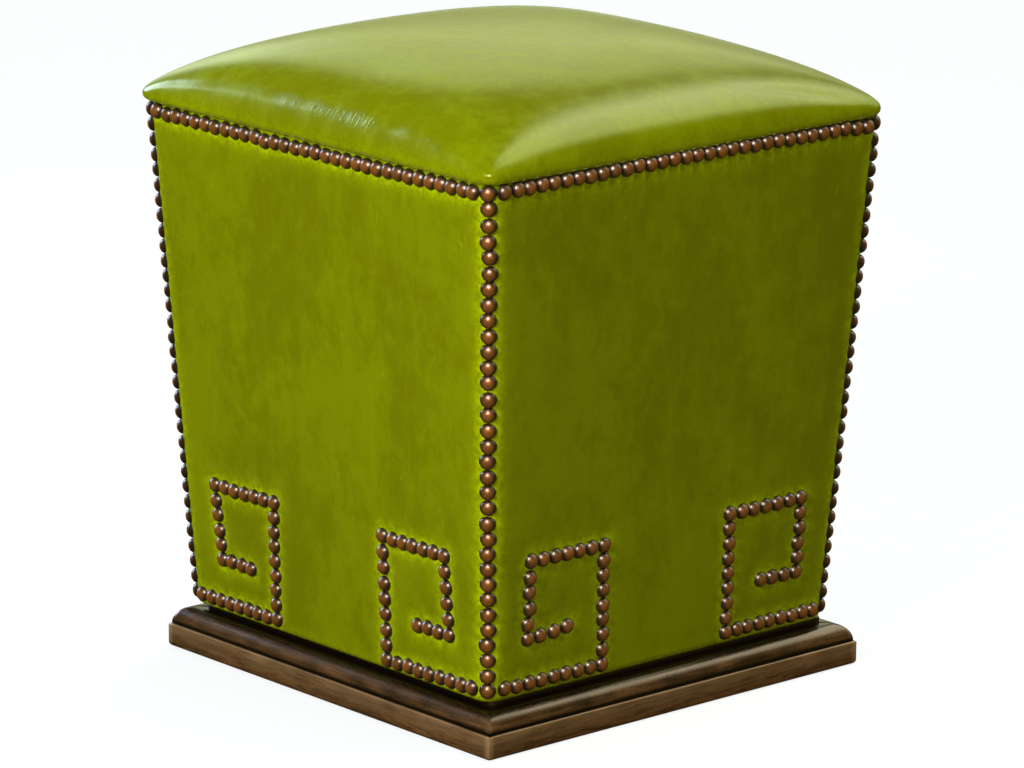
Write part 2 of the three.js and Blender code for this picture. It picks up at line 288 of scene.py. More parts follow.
class Nodes:
    """A node tree that grows one node after another."""

    def __init__(self, tree: bpy.types.NodeTree) -> None:
        """Starts on the tree of a material or of the world."""
        self.tree = tree

    def node(self, kind: str, **settings: object) -> bpy.types.Node:
        """Adds a node and sets its properties.

        Args:
            kind: The node's type.
            settings: Its properties.

        Returns:
            The node.
        """
        made = self.tree.nodes.new(kind)
        for name, value in settings.items():
            setattr(made, name, value)
        return made

    def feed(self, target: Socket, value: object) -> None:
        """Links a socket to an input, or sets the input to a plain value.

        Args:
            target: The input.
            value: The socket or the value.
        """
        if isinstance(value, Socket):
            self.tree.links.new(value, target)
        else:
            target.default_value = value

    def spread(self, value: Socket, low: float, high: float, start: float = 0.0, end: float = 1.0) -> Socket:
        """Maps a number smoothly from one span to another, and holds it there.

        Args:
            value: The number.
            low: The low end of its span.
            high: The high end.
            start: The result at low and below.
            end: The result at high and above.

        Returns:
            The mapped number.
        """
        made = self.node("ShaderNodeMapRange", clamp=True, interpolation_type="SMOOTHSTEP")
        self.feed(made.inputs["Value"], value)
        for name, number in zip(("From Min", "From Max", "To Min", "To Max"), (low, high, start, end)):
            made.inputs[name].default_value = number
        return made.outputs["Result"]

    def sum(self, kind: str, first: object, second: object = 0.0) -> Socket:
        """One step of arithmetic.

        Args:
            kind: ADD, MULTIPLY, SUBTRACT or another of the math node's kinds.
            first: A socket or a number.
            second: A socket or a number.

        Returns:
            The result.
        """
        made = self.node("ShaderNodeMath", operation=kind)
        self.feed(made.inputs[0], first)
        self.feed(made.inputs[1], second)
        return made.outputs[0]

    def dot(self, vector: Socket, direction: Vector) -> Socket:
        """How far a vector goes along a direction.

        Args:
            vector: The vector.
            direction: The direction, of length 1.

        Returns:
            The number.
        """
        made = self.node("ShaderNodeVectorMath", operation="DOT_PRODUCT")
        self.feed(made.inputs[0], vector)
        made.inputs[1].default_value = direction
        return made.outputs["Value"]

    def mix(self, share: object, first: object, second: object, kind: str = "MIX") -> Socket:
        """Mixes two colours.

        Args:
            share: How much of the second, as a socket or a number.
            first: A colour or a socket.
            second: A colour or a socket.
            kind: The blend.

        Returns:
            The mixed colour.
        """
        made = self.node("ShaderNodeMix", data_type="RGBA", blend_type=kind, clamp_factor=False)
        for index, value in ((0, share), (6, first), (7, second)):
            if isinstance(value, tuple):
                value = (*value, 1.0)
            self.feed(made.inputs[index], value)
        return made.outputs[2]


class Shader(Nodes):
    """A material's nodes."""

    def __init__(self, name: str) -> None:
        """Starts a material with a bare surface shader.

        Args:
            name: The material's name.
        """
        self.material = bpy.data.materials.new(name)
        self.material.use_nodes = True
        super().__init__(self.material.node_tree)
        self.surface = self.tree.nodes["Principled BSDF"]

    def place(self, scale: Sequence[float] = (1, 1, 1), turn: float = 0.0) -> Socket:
        """Object coordinates, stretched and turned about Z.

        Args:
            scale: How many pattern units a metre holds along each axis.
            turn: Turn about Z in radians.

        Returns:
            The coordinates.
        """
        source = self.node("ShaderNodeTexCoord")
        mapping = self.node("ShaderNodeMapping", vector_type="TEXTURE")
        mapping.inputs["Rotation"].default_value = (0, 0, turn)
        mapping.inputs["Scale"].default_value = [1 / share for share in scale]
        self.tree.links.new(source.outputs["Object"], mapping.inputs["Vector"])
        return mapping.outputs["Vector"]

    def attribute(self, name: str) -> Socket:
        """A number that the mesh holds for each vertex."""
        return self.node("ShaderNodeAttribute", attribute_name=name).outputs["Fac"]

    def noise(
        self, scale: Sequence[float], detail: float, rough: float, bend: float = 0.0, turn: float = 0.0
    ) -> Socket:
        """Noise from 0 to 1.

        Args:
            scale: How many waves a metre holds along each axis.
            detail: Finer layers.
            rough: How strong the finer layers are.
            bend: How far the pattern is bent.
            turn: Turn about Z in radians.

        Returns:
            The noise.
        """
        place = self.place(scale, turn)
        made = self.node("ShaderNodeTexNoise")
        self.feed(made.inputs["Vector"], place)
        for name, number in (("Scale", 1), ("Detail", detail), ("Roughness", rough), ("Distortion", bend)):
            made.inputs[name].default_value = number
        return made.outputs[0]

    def cells(self, scale: Sequence[float]) -> Socket:
        """Distance to the nearest of scattered points.

        Args:
            scale: How many points a metre holds along each axis.

        Returns:
            The distance.
        """
        place = self.place(scale)
        made = self.node("ShaderNodeTexVoronoi", feature="SMOOTH_F1")
        self.feed(made.inputs["Vector"], place)
        made.inputs["Scale"].default_value = 1
        return made.outputs["Distance"]

    def over(
        self, under: object, top: object, where: Socket, low: float, high: float, most: float = 1.0
    ) -> Socket:
        """Lays one colour over another as a number goes from low to high, where it covers most."""
        return self.mix(self.spread(where, low, high, 0.0, most), under, top)

    def bump(self, height: Socket, distance: float, under: Socket | None = None) -> Socket:
        """Turns heights into a tilt of the surface.

        Args:
            height: Heights from 0 to 1.
            distance: How high 1 stands, in metres.
            under: A tilt to add to.

        Returns:
            The normal.
        """
        made = self.node("ShaderNodeBump")
        made.inputs["Strength"].default_value = 1
        made.inputs["Distance"].default_value = distance
        self.feed(made.inputs["Height"], height)
        if under is not None:
            self.feed(made.inputs["Normal"], under)
        return made.outputs["Normal"]

    def finish(
        self, colour: Socket, rough: Socket | float, normal: Socket, **fixed: object
    ) -> bpy.types.Material:
        """Sets the surface.

        Args:
            colour: The base colour.
            rough: The roughness.
            normal: The tilt.
            fixed: Plain values of its other inputs, by name with _ for a space.

        Returns:
            The finished material.
        """
        for name, value in (("Base Color", colour), ("Roughness", rough), ("Normal", normal)):
            self.feed(self.surface.inputs[name], value)
        for name, value in fixed.items():
            self.surface.inputs[name.replace("_", " ")].default_value = value
        return self.material


@dataclass(frozen=True)
class LeatherFinish:
    """Glazed apple-green leather: softly mottled dye, painted highlights round the nails and along the hems,
    fine creases.
    """

    dye: Colour = (0.215, 0.268, 0.0)
    deep: Colour = (0.170, 0.200, 0.0)
    # A light lime: pale streaks and crease lines, and the painted highlights round the nails and along the
    # hems.
    pulled: Colour = (0.600, 0.800, 0.0)
    tint: Colour = (0.80, 1.0, 0.28)
    rough: float = 0.17
    coat: float = 0.06
    coat_rough: float = 0.14
    grain_height: float = 0.012 * MM
    hill_height: float = 0.05 * MM
    crease_height: float = 0.55 * MM
    scratch_lean: float = math.radians(12)
    scratch_width: float = 0.006
    scratch_strength: float = 0.22

    def material(self) -> bpy.types.Material:
        """Builds the leather's material.

        Returns:
            The material.
        """
        shader = Shader("green_leather")
        clouds = shader.noise((9, 9, 6), 4, 0.6, 0.6)
        blots = shader.noise((60, 60, 40), 4, 0.62, 0.4)
        streaks = shader.noise((150, 150, 14), 4, 0.65, 0.8)
        mottle = shader.noise((150, 150, 110), 3, 0.6, 0.6)
        shade = shader.sum("ADD", shader.sum("MULTIPLY", clouds, 0.45), shader.sum("MULTIPLY", blots, 0.35))
        shade = shader.sum("ADD", shade, shader.sum("MULTIPLY", mottle, 0.2))
        colour = shader.over(self.deep, self.dye, shade, 0.40, 0.60)
        colour = shader.over(colour, self.pulled, streaks, 0.56, 0.82, 0.08)
        colour = shader.mix(self.scratches(shader), colour, self.pulled)
        flecks = shader.spread(shader.noise((260, 260, 260), 2, 0.5), 0.38, 0.56, 0.45, 1.0)
        # Painted highlight: light lime where the leather catches the light round the nails, between them and
        # along its hems.
        colour = shader.mix(shader.sum("MULTIPLY", shader.attribute("pull"), flecks), colour, self.pulled)
        rough = shader.spread(blots, 0.3, 0.7, self.rough - 0.04, self.rough + 0.06)
        crumple = shader.attribute("crumple")
        grain = shader.cells((900, 900, 900))
        pleats = shader.noise((400, 75, 75), 3, 0.55, 0.7)
        hills = shader.noise((70, 70, 40), 3, 0.5, 0.5)
        normal = shader.bump(grain, self.grain_height)
        normal = shader.bump(hills, self.hill_height, normal)
        normal = shader.bump(shader.sum("MULTIPLY", pleats, crumple), self.crease_height, normal)
        return shader.finish(
            colour, rough, normal, Specular_Tint=(*self.tint, 1.0), Coat_Weight=self.coat,
            Coat_Roughness=self.coat_rough,
        )

    def scratches(self, shader: Shader) -> Socket:
        """Faint light lines where the glazed finish has creased, here and there.

        Args:
            shader: The leather's nodes.

        Returns:
            How strongly they show.
        """
        wander = shader.noise((70, 70, 22), 1, 0.5, turn=self.scratch_lean)
        away = shader.sum("ABSOLUTE", shader.sum("SUBTRACT", wander, 0.5))
        line = shader.spread(away, 0.0, self.scratch_width, 1.0, 0.0)
        where = shader.spread(shader.noise((48, 48, 30), 3, 0.6), 0.56, 0.68, 0.0, self.scratch_strength)
        return shader.sum("MULTIPLY", line, where)


@dataclass(frozen=True)
class BronzeFinish:
    """Antique bronze nail heads, each with its own tone, darker round the rim, partly patinated and partly
    painted shade.
    """

    copper: Colour = (0.43, 0.154, 0.024)
    brown: Colour = (0.29, 0.108, 0.021)
    patina: Colour = (0.016, 0.007, 0.004)
    # The darkening round the rim, patinated and painted shade: where it starts, where it ends, how strong it
    # is.
    rim: tuple[float, float, float] = (0.36, 0.98, 0.96)
    rough: float = 0.50
    metal: float = 0.55
    lacquer: float = 0.36
    lacquer_rough: float = 0.31
    lacquer_index: float = 3.2
    gloss: float = 0.2
    gloss_tint: Colour = (0.30, 0.20, 0.14)
    pit_depth: float = 0.008 * MM

    def material(self) -> bpy.types.Material:
        """Builds the nails' material.

        Returns:
            The material.
        """
        shader = Shader("antique_bronze")
        specks = shader.noise((260, 260, 260), 4, 0.65, 0.5)
        colour = shader.mix(shader.attribute("tone"), self.copper, self.brown)
        colour = shader.over(colour, self.patina, specks, 0.50, 0.80, 0.35)
        # Darker towards the rim: patinated metal, and painted shade where the dome turns away from the light.
        colour = shader.over(colour, self.patina, shader.attribute("rim"), *self.rim)
        rough = shader.spread(specks, 0.35, 0.75, self.rough - 0.02, self.rough + 0.06)
        normal = shader.bump(specks, self.pit_depth)
        return shader.finish(
            colour, rough, normal, Metallic=self.metal, Coat_Weight=self.lacquer,
            Coat_Roughness=self.lacquer_rough, Coat_IOR=self.lacquer_index, Specular_IOR_Level=self.gloss,
            Specular_Tint=(*self.gloss_tint, 1.0),
        )


@dataclass(frozen=True)
class WalnutFinish:
    """Walnut stain under a dark glazing, with near-black painted shade in the moulding's groove and over its
    crest; its arrises are lighter, from wear and, on the neck, a painted glint.
    """

    light: Colour = (0.170, 0.082, 0.031)
    stain: Colour = (0.078, 0.037, 0.013)
    dark: Colour = (0.014, 0.008, 0.004)
    # Near black: patchy glazing, and painted shade in the moulding's groove and over its crest.
    glaze: Colour = (0.0015, 0.0012, 0.0010)
    # Light wood: wear on the arrises and mitres, and a painted glint along the moulding's neck.
    worn: Colour = (0.46, 0.31, 0.17)
    rough: float = 0.15
    gloss: float = 0.7
    gloss_tint: Colour = (1.0, 0.82, 0.62)
    pore_depth: float = 0.04 * MM

    def material(self, along_x: bool) -> bpy.types.Material:
        """Builds the material for boards that run one way.

        Args:
            along_x: Whether the grain runs along X.

        Returns:
            The material.
        """
        turn = 0.0 if along_x else QUARTER
        shader = Shader("walnut_along_x" if along_x else "walnut_along_y")
        figure = shader.noise((14, 190, 190), 5, 0.62, 0.9, turn)
        fibres = shader.noise((55, 520, 520), 4, 0.7, 0.3, turn)
        flecks = shader.noise((340, 120, 120), 3, 0.6, 0.8, turn)
        clouds = shader.noise((22, 40, 40), 4, 0.65, 1.2, turn)
        colour = shader.over(self.stain, self.light, figure, 0.36, 0.64)
        colour = shader.over(colour, self.dark, clouds, 0.54, 0.74, 0.65)
        colour = shader.over(colour, self.dark, flecks, 0.55, 0.75, 0.30)
        colour = shader.over(colour, self.dark, fibres, 0.50, 0.68, 0.80)
        # Near black where the mesh asks: patchy glazing, and painted shade in the moulding's groove and over
        # its crest.
        colour = shader.mix(shader.attribute("glaze"), colour, self.glaze)
        # Lighter where the mesh asks: wear on the arrises and mitres, and a painted glint along the
        # moulding's neck.
        colour = shader.mix(shader.attribute("worn"), colour, self.worn)
        rough = shader.spread(fibres, 0.3, 0.7, self.rough, self.rough + 0.12)
        return shader.finish(
            colour, rough, shader.bump(fibres, self.pore_depth), Specular_IOR_Level=self.gloss,
            Specular_Tint=(*self.gloss_tint, 1.0),
        )


@dataclass(frozen=True)
class PineFinish:
    """Sawn softwood with straight grain."""

    early: Colour = (0.66, 0.46, 0.25)
    late: Colour = (0.42, 0.24, 0.10)
    fibre_share: float = 6
    rough: float = 0.72
    fibre_height: float = 0.08 * MM

    def material(self, name: str, scale: Sequence[float]) -> bpy.types.Material:
        """Builds the wood for pieces that run one way.

        Args:
            name: The material's name.
            scale: Pattern units in a metre along each axis, fewest along the grain.

        Returns:
            The material.
        """
        shader = Shader(name)
        rings = shader.noise(scale, 4, 0.55, 0.8)
        fibres = shader.noise([self.fibre_share * share for share in scale], 3, 0.6)
        colour = shader.over(self.early, self.late, rings, 0.42, 0.62)
        colour = shader.over(colour, self.late, fibres, 0.5, 0.8, 0.4)
        return shader.finish(colour, self.rough, shader.bump(fibres, self.fibre_height))


@dataclass(frozen=True)
class PlywoodFinish:
    """Birch plywood with a soft flame."""

    face: Colour = (0.62, 0.44, 0.25)
    flame: Colour = (0.46, 0.29, 0.14)
    rough: float = 0.68
    fibre_height: float = 0.05 * MM

    def material(self) -> bpy.types.Material:
        """Builds the plywood's material.

        Returns:
            The material.
        """
        shader = Shader("birch_plywood")
        flame = shader.noise((14, 14, 4), 5, 0.6, 1.4)
        fibres = shader.noise((300, 300, 30), 3, 0.6)
        colour = shader.over(self.face, self.flame, flame, 0.40, 0.62)
        colour = shader.over(colour, self.flame, fibres, 0.5, 0.8, 0.4)
        return shader.finish(colour, self.rough, shader.bump(fibres, self.fibre_height))


@dataclass(frozen=True)
class SoftFinish:
    """Batting, felt or foam: a matt surface with small lumps."""

    name: str
    light: Colour
    shade: Colour
    lumps: float
    height: float
    rough: float = 0.95
    sheen: float = 0.2

    def material(self) -> bpy.types.Material:
        """Builds the soft material.

        Returns:
            The material.
        """
        shader = Shader(self.name)
        lumps = shader.noise((self.lumps,) * 3, 5, 0.7, 0.4)
        colour = shader.over(self.shade, self.light, lumps, 0.35, 0.7)
        return shader.finish(colour, self.rough, shader.bump(lumps, self.height), Sheen_Weight=self.sheen)


@dataclass(frozen=True)
class CambricFinish:
    """Black spun cloth with a fine even weave."""

    black: Colour = (0.012, 0.012, 0.013)
    thread: Colour = (0.045, 0.045, 0.048)
    threads_in_a_metre: float = 900.0
    thread_height: float = 0.06 * MM
    rough: float = 0.9
    sheen: float = 0.1

    def material(self) -> bpy.types.Material:
        """Builds the cloth's material.

        Returns:
            The material.
        """
        shader = Shader("black_cambric")
        weave = None
        for direction in ("X", "Y"):
            wave = shader.node("ShaderNodeTexWave", bands_direction=direction)
            shader.feed(wave.inputs["Vector"], shader.place())
            wave.inputs["Scale"].default_value = self.threads_in_a_metre / math.tau
            threads = wave.outputs["Fac"]
            weave = threads if weave is None else shader.sum("MULTIPLY", weave, threads)
        colour = shader.mix(weave, self.black, self.thread)
        normal = shader.bump(weave, self.thread_height)
        return shader.finish(colour, self.rough, normal, Sheen_Weight=self.sheen)


@dataclass(frozen=True)
class SteelFinish:
    """Zinc-plated steel of screws and staples."""

    zinc: Colour = (0.56, 0.56, 0.54)
    dull: Colour = (0.30, 0.30, 0.30)
    rough: tuple[float, float] = (0.28, 0.42)
    spot_height: float = 0.05 * MM

    def material(self) -> bpy.types.Material:
        """Builds the steel's material.

        Returns:
            The material.
        """
        shader = Shader("zinc_steel")
        spots = shader.noise((300, 300, 300), 4, 0.6)
        colour = shader.over(self.zinc, self.dull, spots, 0.4, 0.7)
        rough = shader.spread(spots, 0.3, 0.7, *self.rough)
        return shader.finish(colour, rough, shader.bump(spots, self.spot_height), Metallic=1.0)


# The leather box


@dataclass(frozen=True)
class BoxShape:
    """The outside of the leather box: square in plan, wider at the head, its corners rounded.

    Places on a side are given by their way along its outline from the middle, their level, and how far
    they stand out from the leather's plain face.
    """

    foot: float
    seam: float
    foot_half: float
    slope: float
    corner: float = 14 * MM

    @classmethod
    def from_frame(cls) -> "BoxShape":
        """Reads the box from the frame's leather.

        Returns:
            The box.
        """
        low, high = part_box("leather_side_front")
        corners = [vert.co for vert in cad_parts["leather_side_front"].data.vertices]
        foot_half = max(-place.y for place in corners if place.z < low.z + GAP)
        slope = (-low.y - foot_half) / (high.z - low.z)
        return cls(low.z, high.z + GAP, foot_half, slope)

    def half(self, level: float | np.ndarray) -> float | np.ndarray:
        """Half the box's width at a level."""
        return self.foot_half + (level - self.foot) * self.slope

    def reach(self, level: float | np.ndarray) -> float | np.ndarray:
        """The way along the outline from the middle of a side to the corner's diagonal."""
        return self.half(level) - self.corner + self.corner * math.pi / 4

    def nail_line(self, level: float) -> float:
        """How far across a side the corner nails stand from its middle."""
        return self.half(level) - self.corner * CUT_CORNER

    def wrap(self, along: np.ndarray, level: np.ndarray, out: np.ndarray) -> np.ndarray:
        """Turns places on the front side into points.

        Args:
            along: Ways along the outline from the middle.
            level: Levels.
            out: How far the points stand out.

        Returns:
            One point in each row.
        """
        straight = self.half(level) - self.corner
        turn = np.clip((np.abs(along) - straight) / self.corner, 0, None)
        side = np.sign(along) * (straight + (self.corner + out) * np.sin(turn))
        x = np.where(turn > 0, side, along)
        y = -(straight + (self.corner + out) * np.cos(turn))
        return np.stack([x, y, level], axis=-1)


@dataclass(frozen=True)
class Nailing:
    """The rows of domed nails: where they go on a side, and their heads."""

    box: BoxShape
    head_width: float = 13.6 * MM
    head_height: float = 5.9 * MM
    face_sink: float = 0.3 * MM
    corner_sink: float = 0.9 * MM
    bottom_rise: float = 9 * MM
    top_rise: float = 0.9 * MM
    top_steps: int = 33
    column_steps: int = 32
    foot_steps: int = 9
    rise_steps: int = 8
    inner_steps: int = 3
    hook_level_steps: int = 3
    hook_end_steps: int = 6
    scatter: float = 0.35 * MM
    tilt: float = math.radians(2)
    width_spread: tuple[float, float] = (0.98, 1.01)
    height_spread: tuple[float, float] = (0.95, 1.05)
    tone: tuple[float, float] = (0.5, 0.25)
    head_faces: tuple[int, int] = (14, 8)

    @property
    def bottom(self) -> float:
        """The level of the lowest nails."""
        return self.box.foot + self.bottom_rise

    @property
    def top(self) -> float:
        """The level of the top row."""
        return self.box.seam + self.top_rise

    @property
    def rise(self) -> float:
        """The step between nails up a column."""
        return (self.top - self.bottom) / self.column_steps

    def wander(self, side: Side, share: float) -> float:
        """How far the hand-set top row strays up from its line, at a share of the way along it."""
        bow = (-1.3 * MM, 2.4 * MM, 1.0 * MM, -0.8 * MM)[side.value]
        return bow * math.sin(math.pi * share)

    def key_strays(self, side: Side, hand: Hand) -> tuple[tuple[float, float], ...]:
        """How far a key's turning points stray across and up from their places, as set by hand.

        Args:
            side: The side.
            hand: The half of the side.

        Returns:
            For each turning point, in millimetres, the way towards the corner and the way up.
        """
        strays = {
            (Side.FRONT, Hand.A): ((0, 0), (5, 0), (1.5, -0.6), (1, -2), (-4, -1.4), (-3, -0.8)),
            (Side.FRONT, Hand.B): ((0, 0), (-1.5, -1.4), (0, 1.3), (-2, 1.3), (0, 0), (0, -0.6)),
            (Side.RIGHT, Hand.A): ((0, 0), (-2, 0), (3, -0.7), (4, -0.4), (3.5, -1.3), (0.5, 2)),
            (Side.RIGHT, Hand.B): ((0, 0), (3, 0), (-0.5, 0), (3, -0.8), (2.5, -0.6), (0, 0)),
            (Side.BACK, Hand.A): ((0, 0), (1, 0.5), (-1.5, 1), (-1, 1.2), (1, 0.6), (1, 0)),
            (Side.BACK, Hand.B): ((0, 0), (-1, 0), (0.5, -1), (1.5, -1), (1, 0), (0, 0.5)),
            (Side.LEFT, Hand.A): ((0, 0), (0, -0.5), (2, 0), (2, 0.8), (0, 0.4), (0, 0)),
            (Side.LEFT, Hand.B): ((0, 0), (2, 0.4), (1, -0.8), (-1, -0.6), (-1.5, 0.5), (-1, 1)),
        }
        return strays[side, hand]

    def scattered(self, name: str, places: list[tuple[float, float]]) -> list[tuple[float, float]]:
        """Moves each place a little, as nails set by hand are, with a draw that the row's name seeds."""
        draw = random.Random(name)
        return [(a + draw.gauss(0, self.scatter), b + draw.gauss(0, self.scatter)) for a, b in places]

    def top_row(self, side: Side) -> list[tuple[float, float]]:
        """The places of a side's top row, between the corner nails.

        Args:
            side: The side.

        Returns:
            Ways along and levels.
        """
        end = self.box.nail_line(self.top)
        places = []
        for step in range(1, self.top_steps):
            share = step / self.top_steps
            places.append(((2 * share - 1) * end, self.top + self.wander(side, share)))
        return self.scattered(f"top {side.label}", places)

    def key(self, side: Side, hand: Hand) -> list[tuple[float, float]]:
        """The places of one Greek key: along the foot, up, back, down and in to its hook.

        Args:
            side: The side.
            hand: The half of the side.

        Returns:
            Ways along and levels.
        """
        grid = (
            (1, 0),
            (self.foot_steps, 0),
            (self.foot_steps, self.rise_steps),
            (self.inner_steps, self.rise_steps),
            (self.inner_steps, self.hook_level_steps),
            (self.hook_end_steps, self.hook_level_steps),
        )
        corner = self.box.nail_line(self.bottom)
        turns = []
        for (column, row), (outward, upward) in zip(grid, self.key_strays(side, hand)):
            across = corner - column * self.rise + outward * MM
            turns.append((across, self.bottom + row * self.rise + upward * MM))
        places = [turns[0]]
        for index in range(1, len(grid)):
            steps = abs(grid[index][0] - grid[index - 1][0]) + abs(grid[index][1] - grid[index - 1][1])
            first, last = Vector(turns[index - 1]), Vector(turns[index])
            places += [tuple(first.lerp(last, step / steps)) for step in range(1, steps + 1)]
        places = [(hand.value * across, level) for across, level in places]
        return self.scattered(f"key {side.label} {hand.name}", places)

    def column(self, side: Side) -> list[tuple[float, float]]:
        """The places of the column at a side's right-hand corner, as strays from its line and levels."""
        levels = [self.bottom + step * self.rise for step in range(self.column_steps + 1)]
        return self.scattered(f"column {side.corner}", [(0.0, level) for level in levels])

    def all_on(self, side: Side) -> np.ndarray:
        """Every nail that holds down the leather of a side, its two corner columns among them.

        Args:
            side: The side.

        Returns:
            Ways along and levels, one nail in each row.
        """
        places = [*self.top_row(side), *self.key(side, Hand.A), *self.key(side, Hand.B)]
        before = Side((side.value - 1) % 4)
        places += [(self.box.reach(level) + stray, level) for stray, level in self.column(side)]
        places += [(stray - self.box.reach(level), level) for stray, level in self.column(before)]
        return np.array(places)

    def head(self) -> bpy.types.Mesh:
        """The dome that each head is a copy of, of radius and height 1 and closed below.

        Returns:
            The dome's mesh.
        """
        form = bmesh.new()
        around, up = self.head_faces
        bmesh.ops.create_uvsphere(form, u_segments=around, v_segments=up, radius=1)
        saw(form, (0, 0, 0), (0, 0, -1), clear=True)
        bmesh.ops.recalc_face_normals(form, faces=form.faces[:])
        mark(form, "rim", [math.hypot(vert.co.x, vert.co.y) for vert in form.verts])
        return to_mesh("nail_head", form)

    def row(self, name: str, seats: list[Matrix], finish: bpy.types.Material, node: str) -> None:
        """Builds one row of heads as one piece.

        Args:
            name: The piece's name.
            seats: Where each head sits, with its Z away from the leather.
            finish: The nails' material.
            node: The frame's node that the row replaces.
        """
        draw = random.Random(name)
        head = self.head()
        form = bmesh.new()
        form.verts.layers.float.new("rim")
        tone = form.verts.layers.float.new("tone")
        for seat in seats:
            start = len(form.verts)
            form.from_mesh(head)
            form.verts.ensure_lookup_table()
            fresh = form.verts[start:]
            lean = Matrix.Rotation(draw.gauss(0, self.tilt), 4, "X")
            lean = lean @ Matrix.Rotation(draw.gauss(0, self.tilt), 4, "Y")
            radius = self.head_width / 2 * draw.uniform(*self.width_spread)
            size = Matrix.Diagonal((radius, radius, self.head_height * draw.uniform(*self.height_spread), 1))
            bmesh.ops.transform(form, matrix=seat @ lean @ size, verts=fresh)
            shade = min(1.0, max(0.0, draw.gauss(*self.tone)))
            for vert in fresh:
                vert[tone] = shade
        bpy.data.meshes.remove(head)
        new_piece(name, form, finish, "nail_bronze", node)

    def square(self, side: Side, point: Vector, across: Vector, out: Vector) -> Matrix:
        """The seat of a nail at a point of the front, its X across and its Z out, turned to its side."""
        basis = Matrix((across, out.cross(across), out)).transposed().to_4x4()
        return side.turn @ Matrix.Translation(point) @ basis

    def seat(self, side: Side, along: float, level: float) -> Matrix:
        """The seat of a nail on a side's face."""
        point = Vector((along, self.face_sink - self.box.half(level), level))
        return self.square(side, point, Vector((1, 0, 0)), Vector((0, -1, -self.box.slope)).normalized())

    def corner_seat(self, side: Side, stray: float, level: float) -> Matrix:
        """The seat of a nail in the column at a side's right-hand corner.

        Args:
            side: The side.
            stray: How far it strays across the column.
            level: Its level.

        Returns:
            The seat's place and turn.
        """
        line = self.box.nail_line(level)
        out = Vector((1, -1, -2 * self.box.slope)).normalized()
        across = Vector((1, 1, 0)).normalized()
        point = Vector((line, -line, level)) - out * self.corner_sink + across * stray
        return self.square(side, point, across, out)

    def build(self, finish: bpy.types.Material) -> None:
        """Builds every row of nails.

        Args:
            finish: The nails' material.
        """
        for side in Side:
            seats = [self.seat(side, *place) for place in self.top_row(side)]
            self.row(f"nails_top_{side.label}", seats, finish, f"top_nails_{side.label}")
            for hand in Hand:
                seats = [self.seat(side, *place) for place in self.key(side, hand)]
                label = f"{side.label}_{hand.name.lower()}"
                self.row(f"nails_key_{label}", seats, finish, f"nail_key_{label}")
            seats = [self.corner_seat(side, *place) for place in self.column(side)]
            self.row(f"nails_corner_{side.corner}", seats, finish, f"corner_nails_{side.corner}")


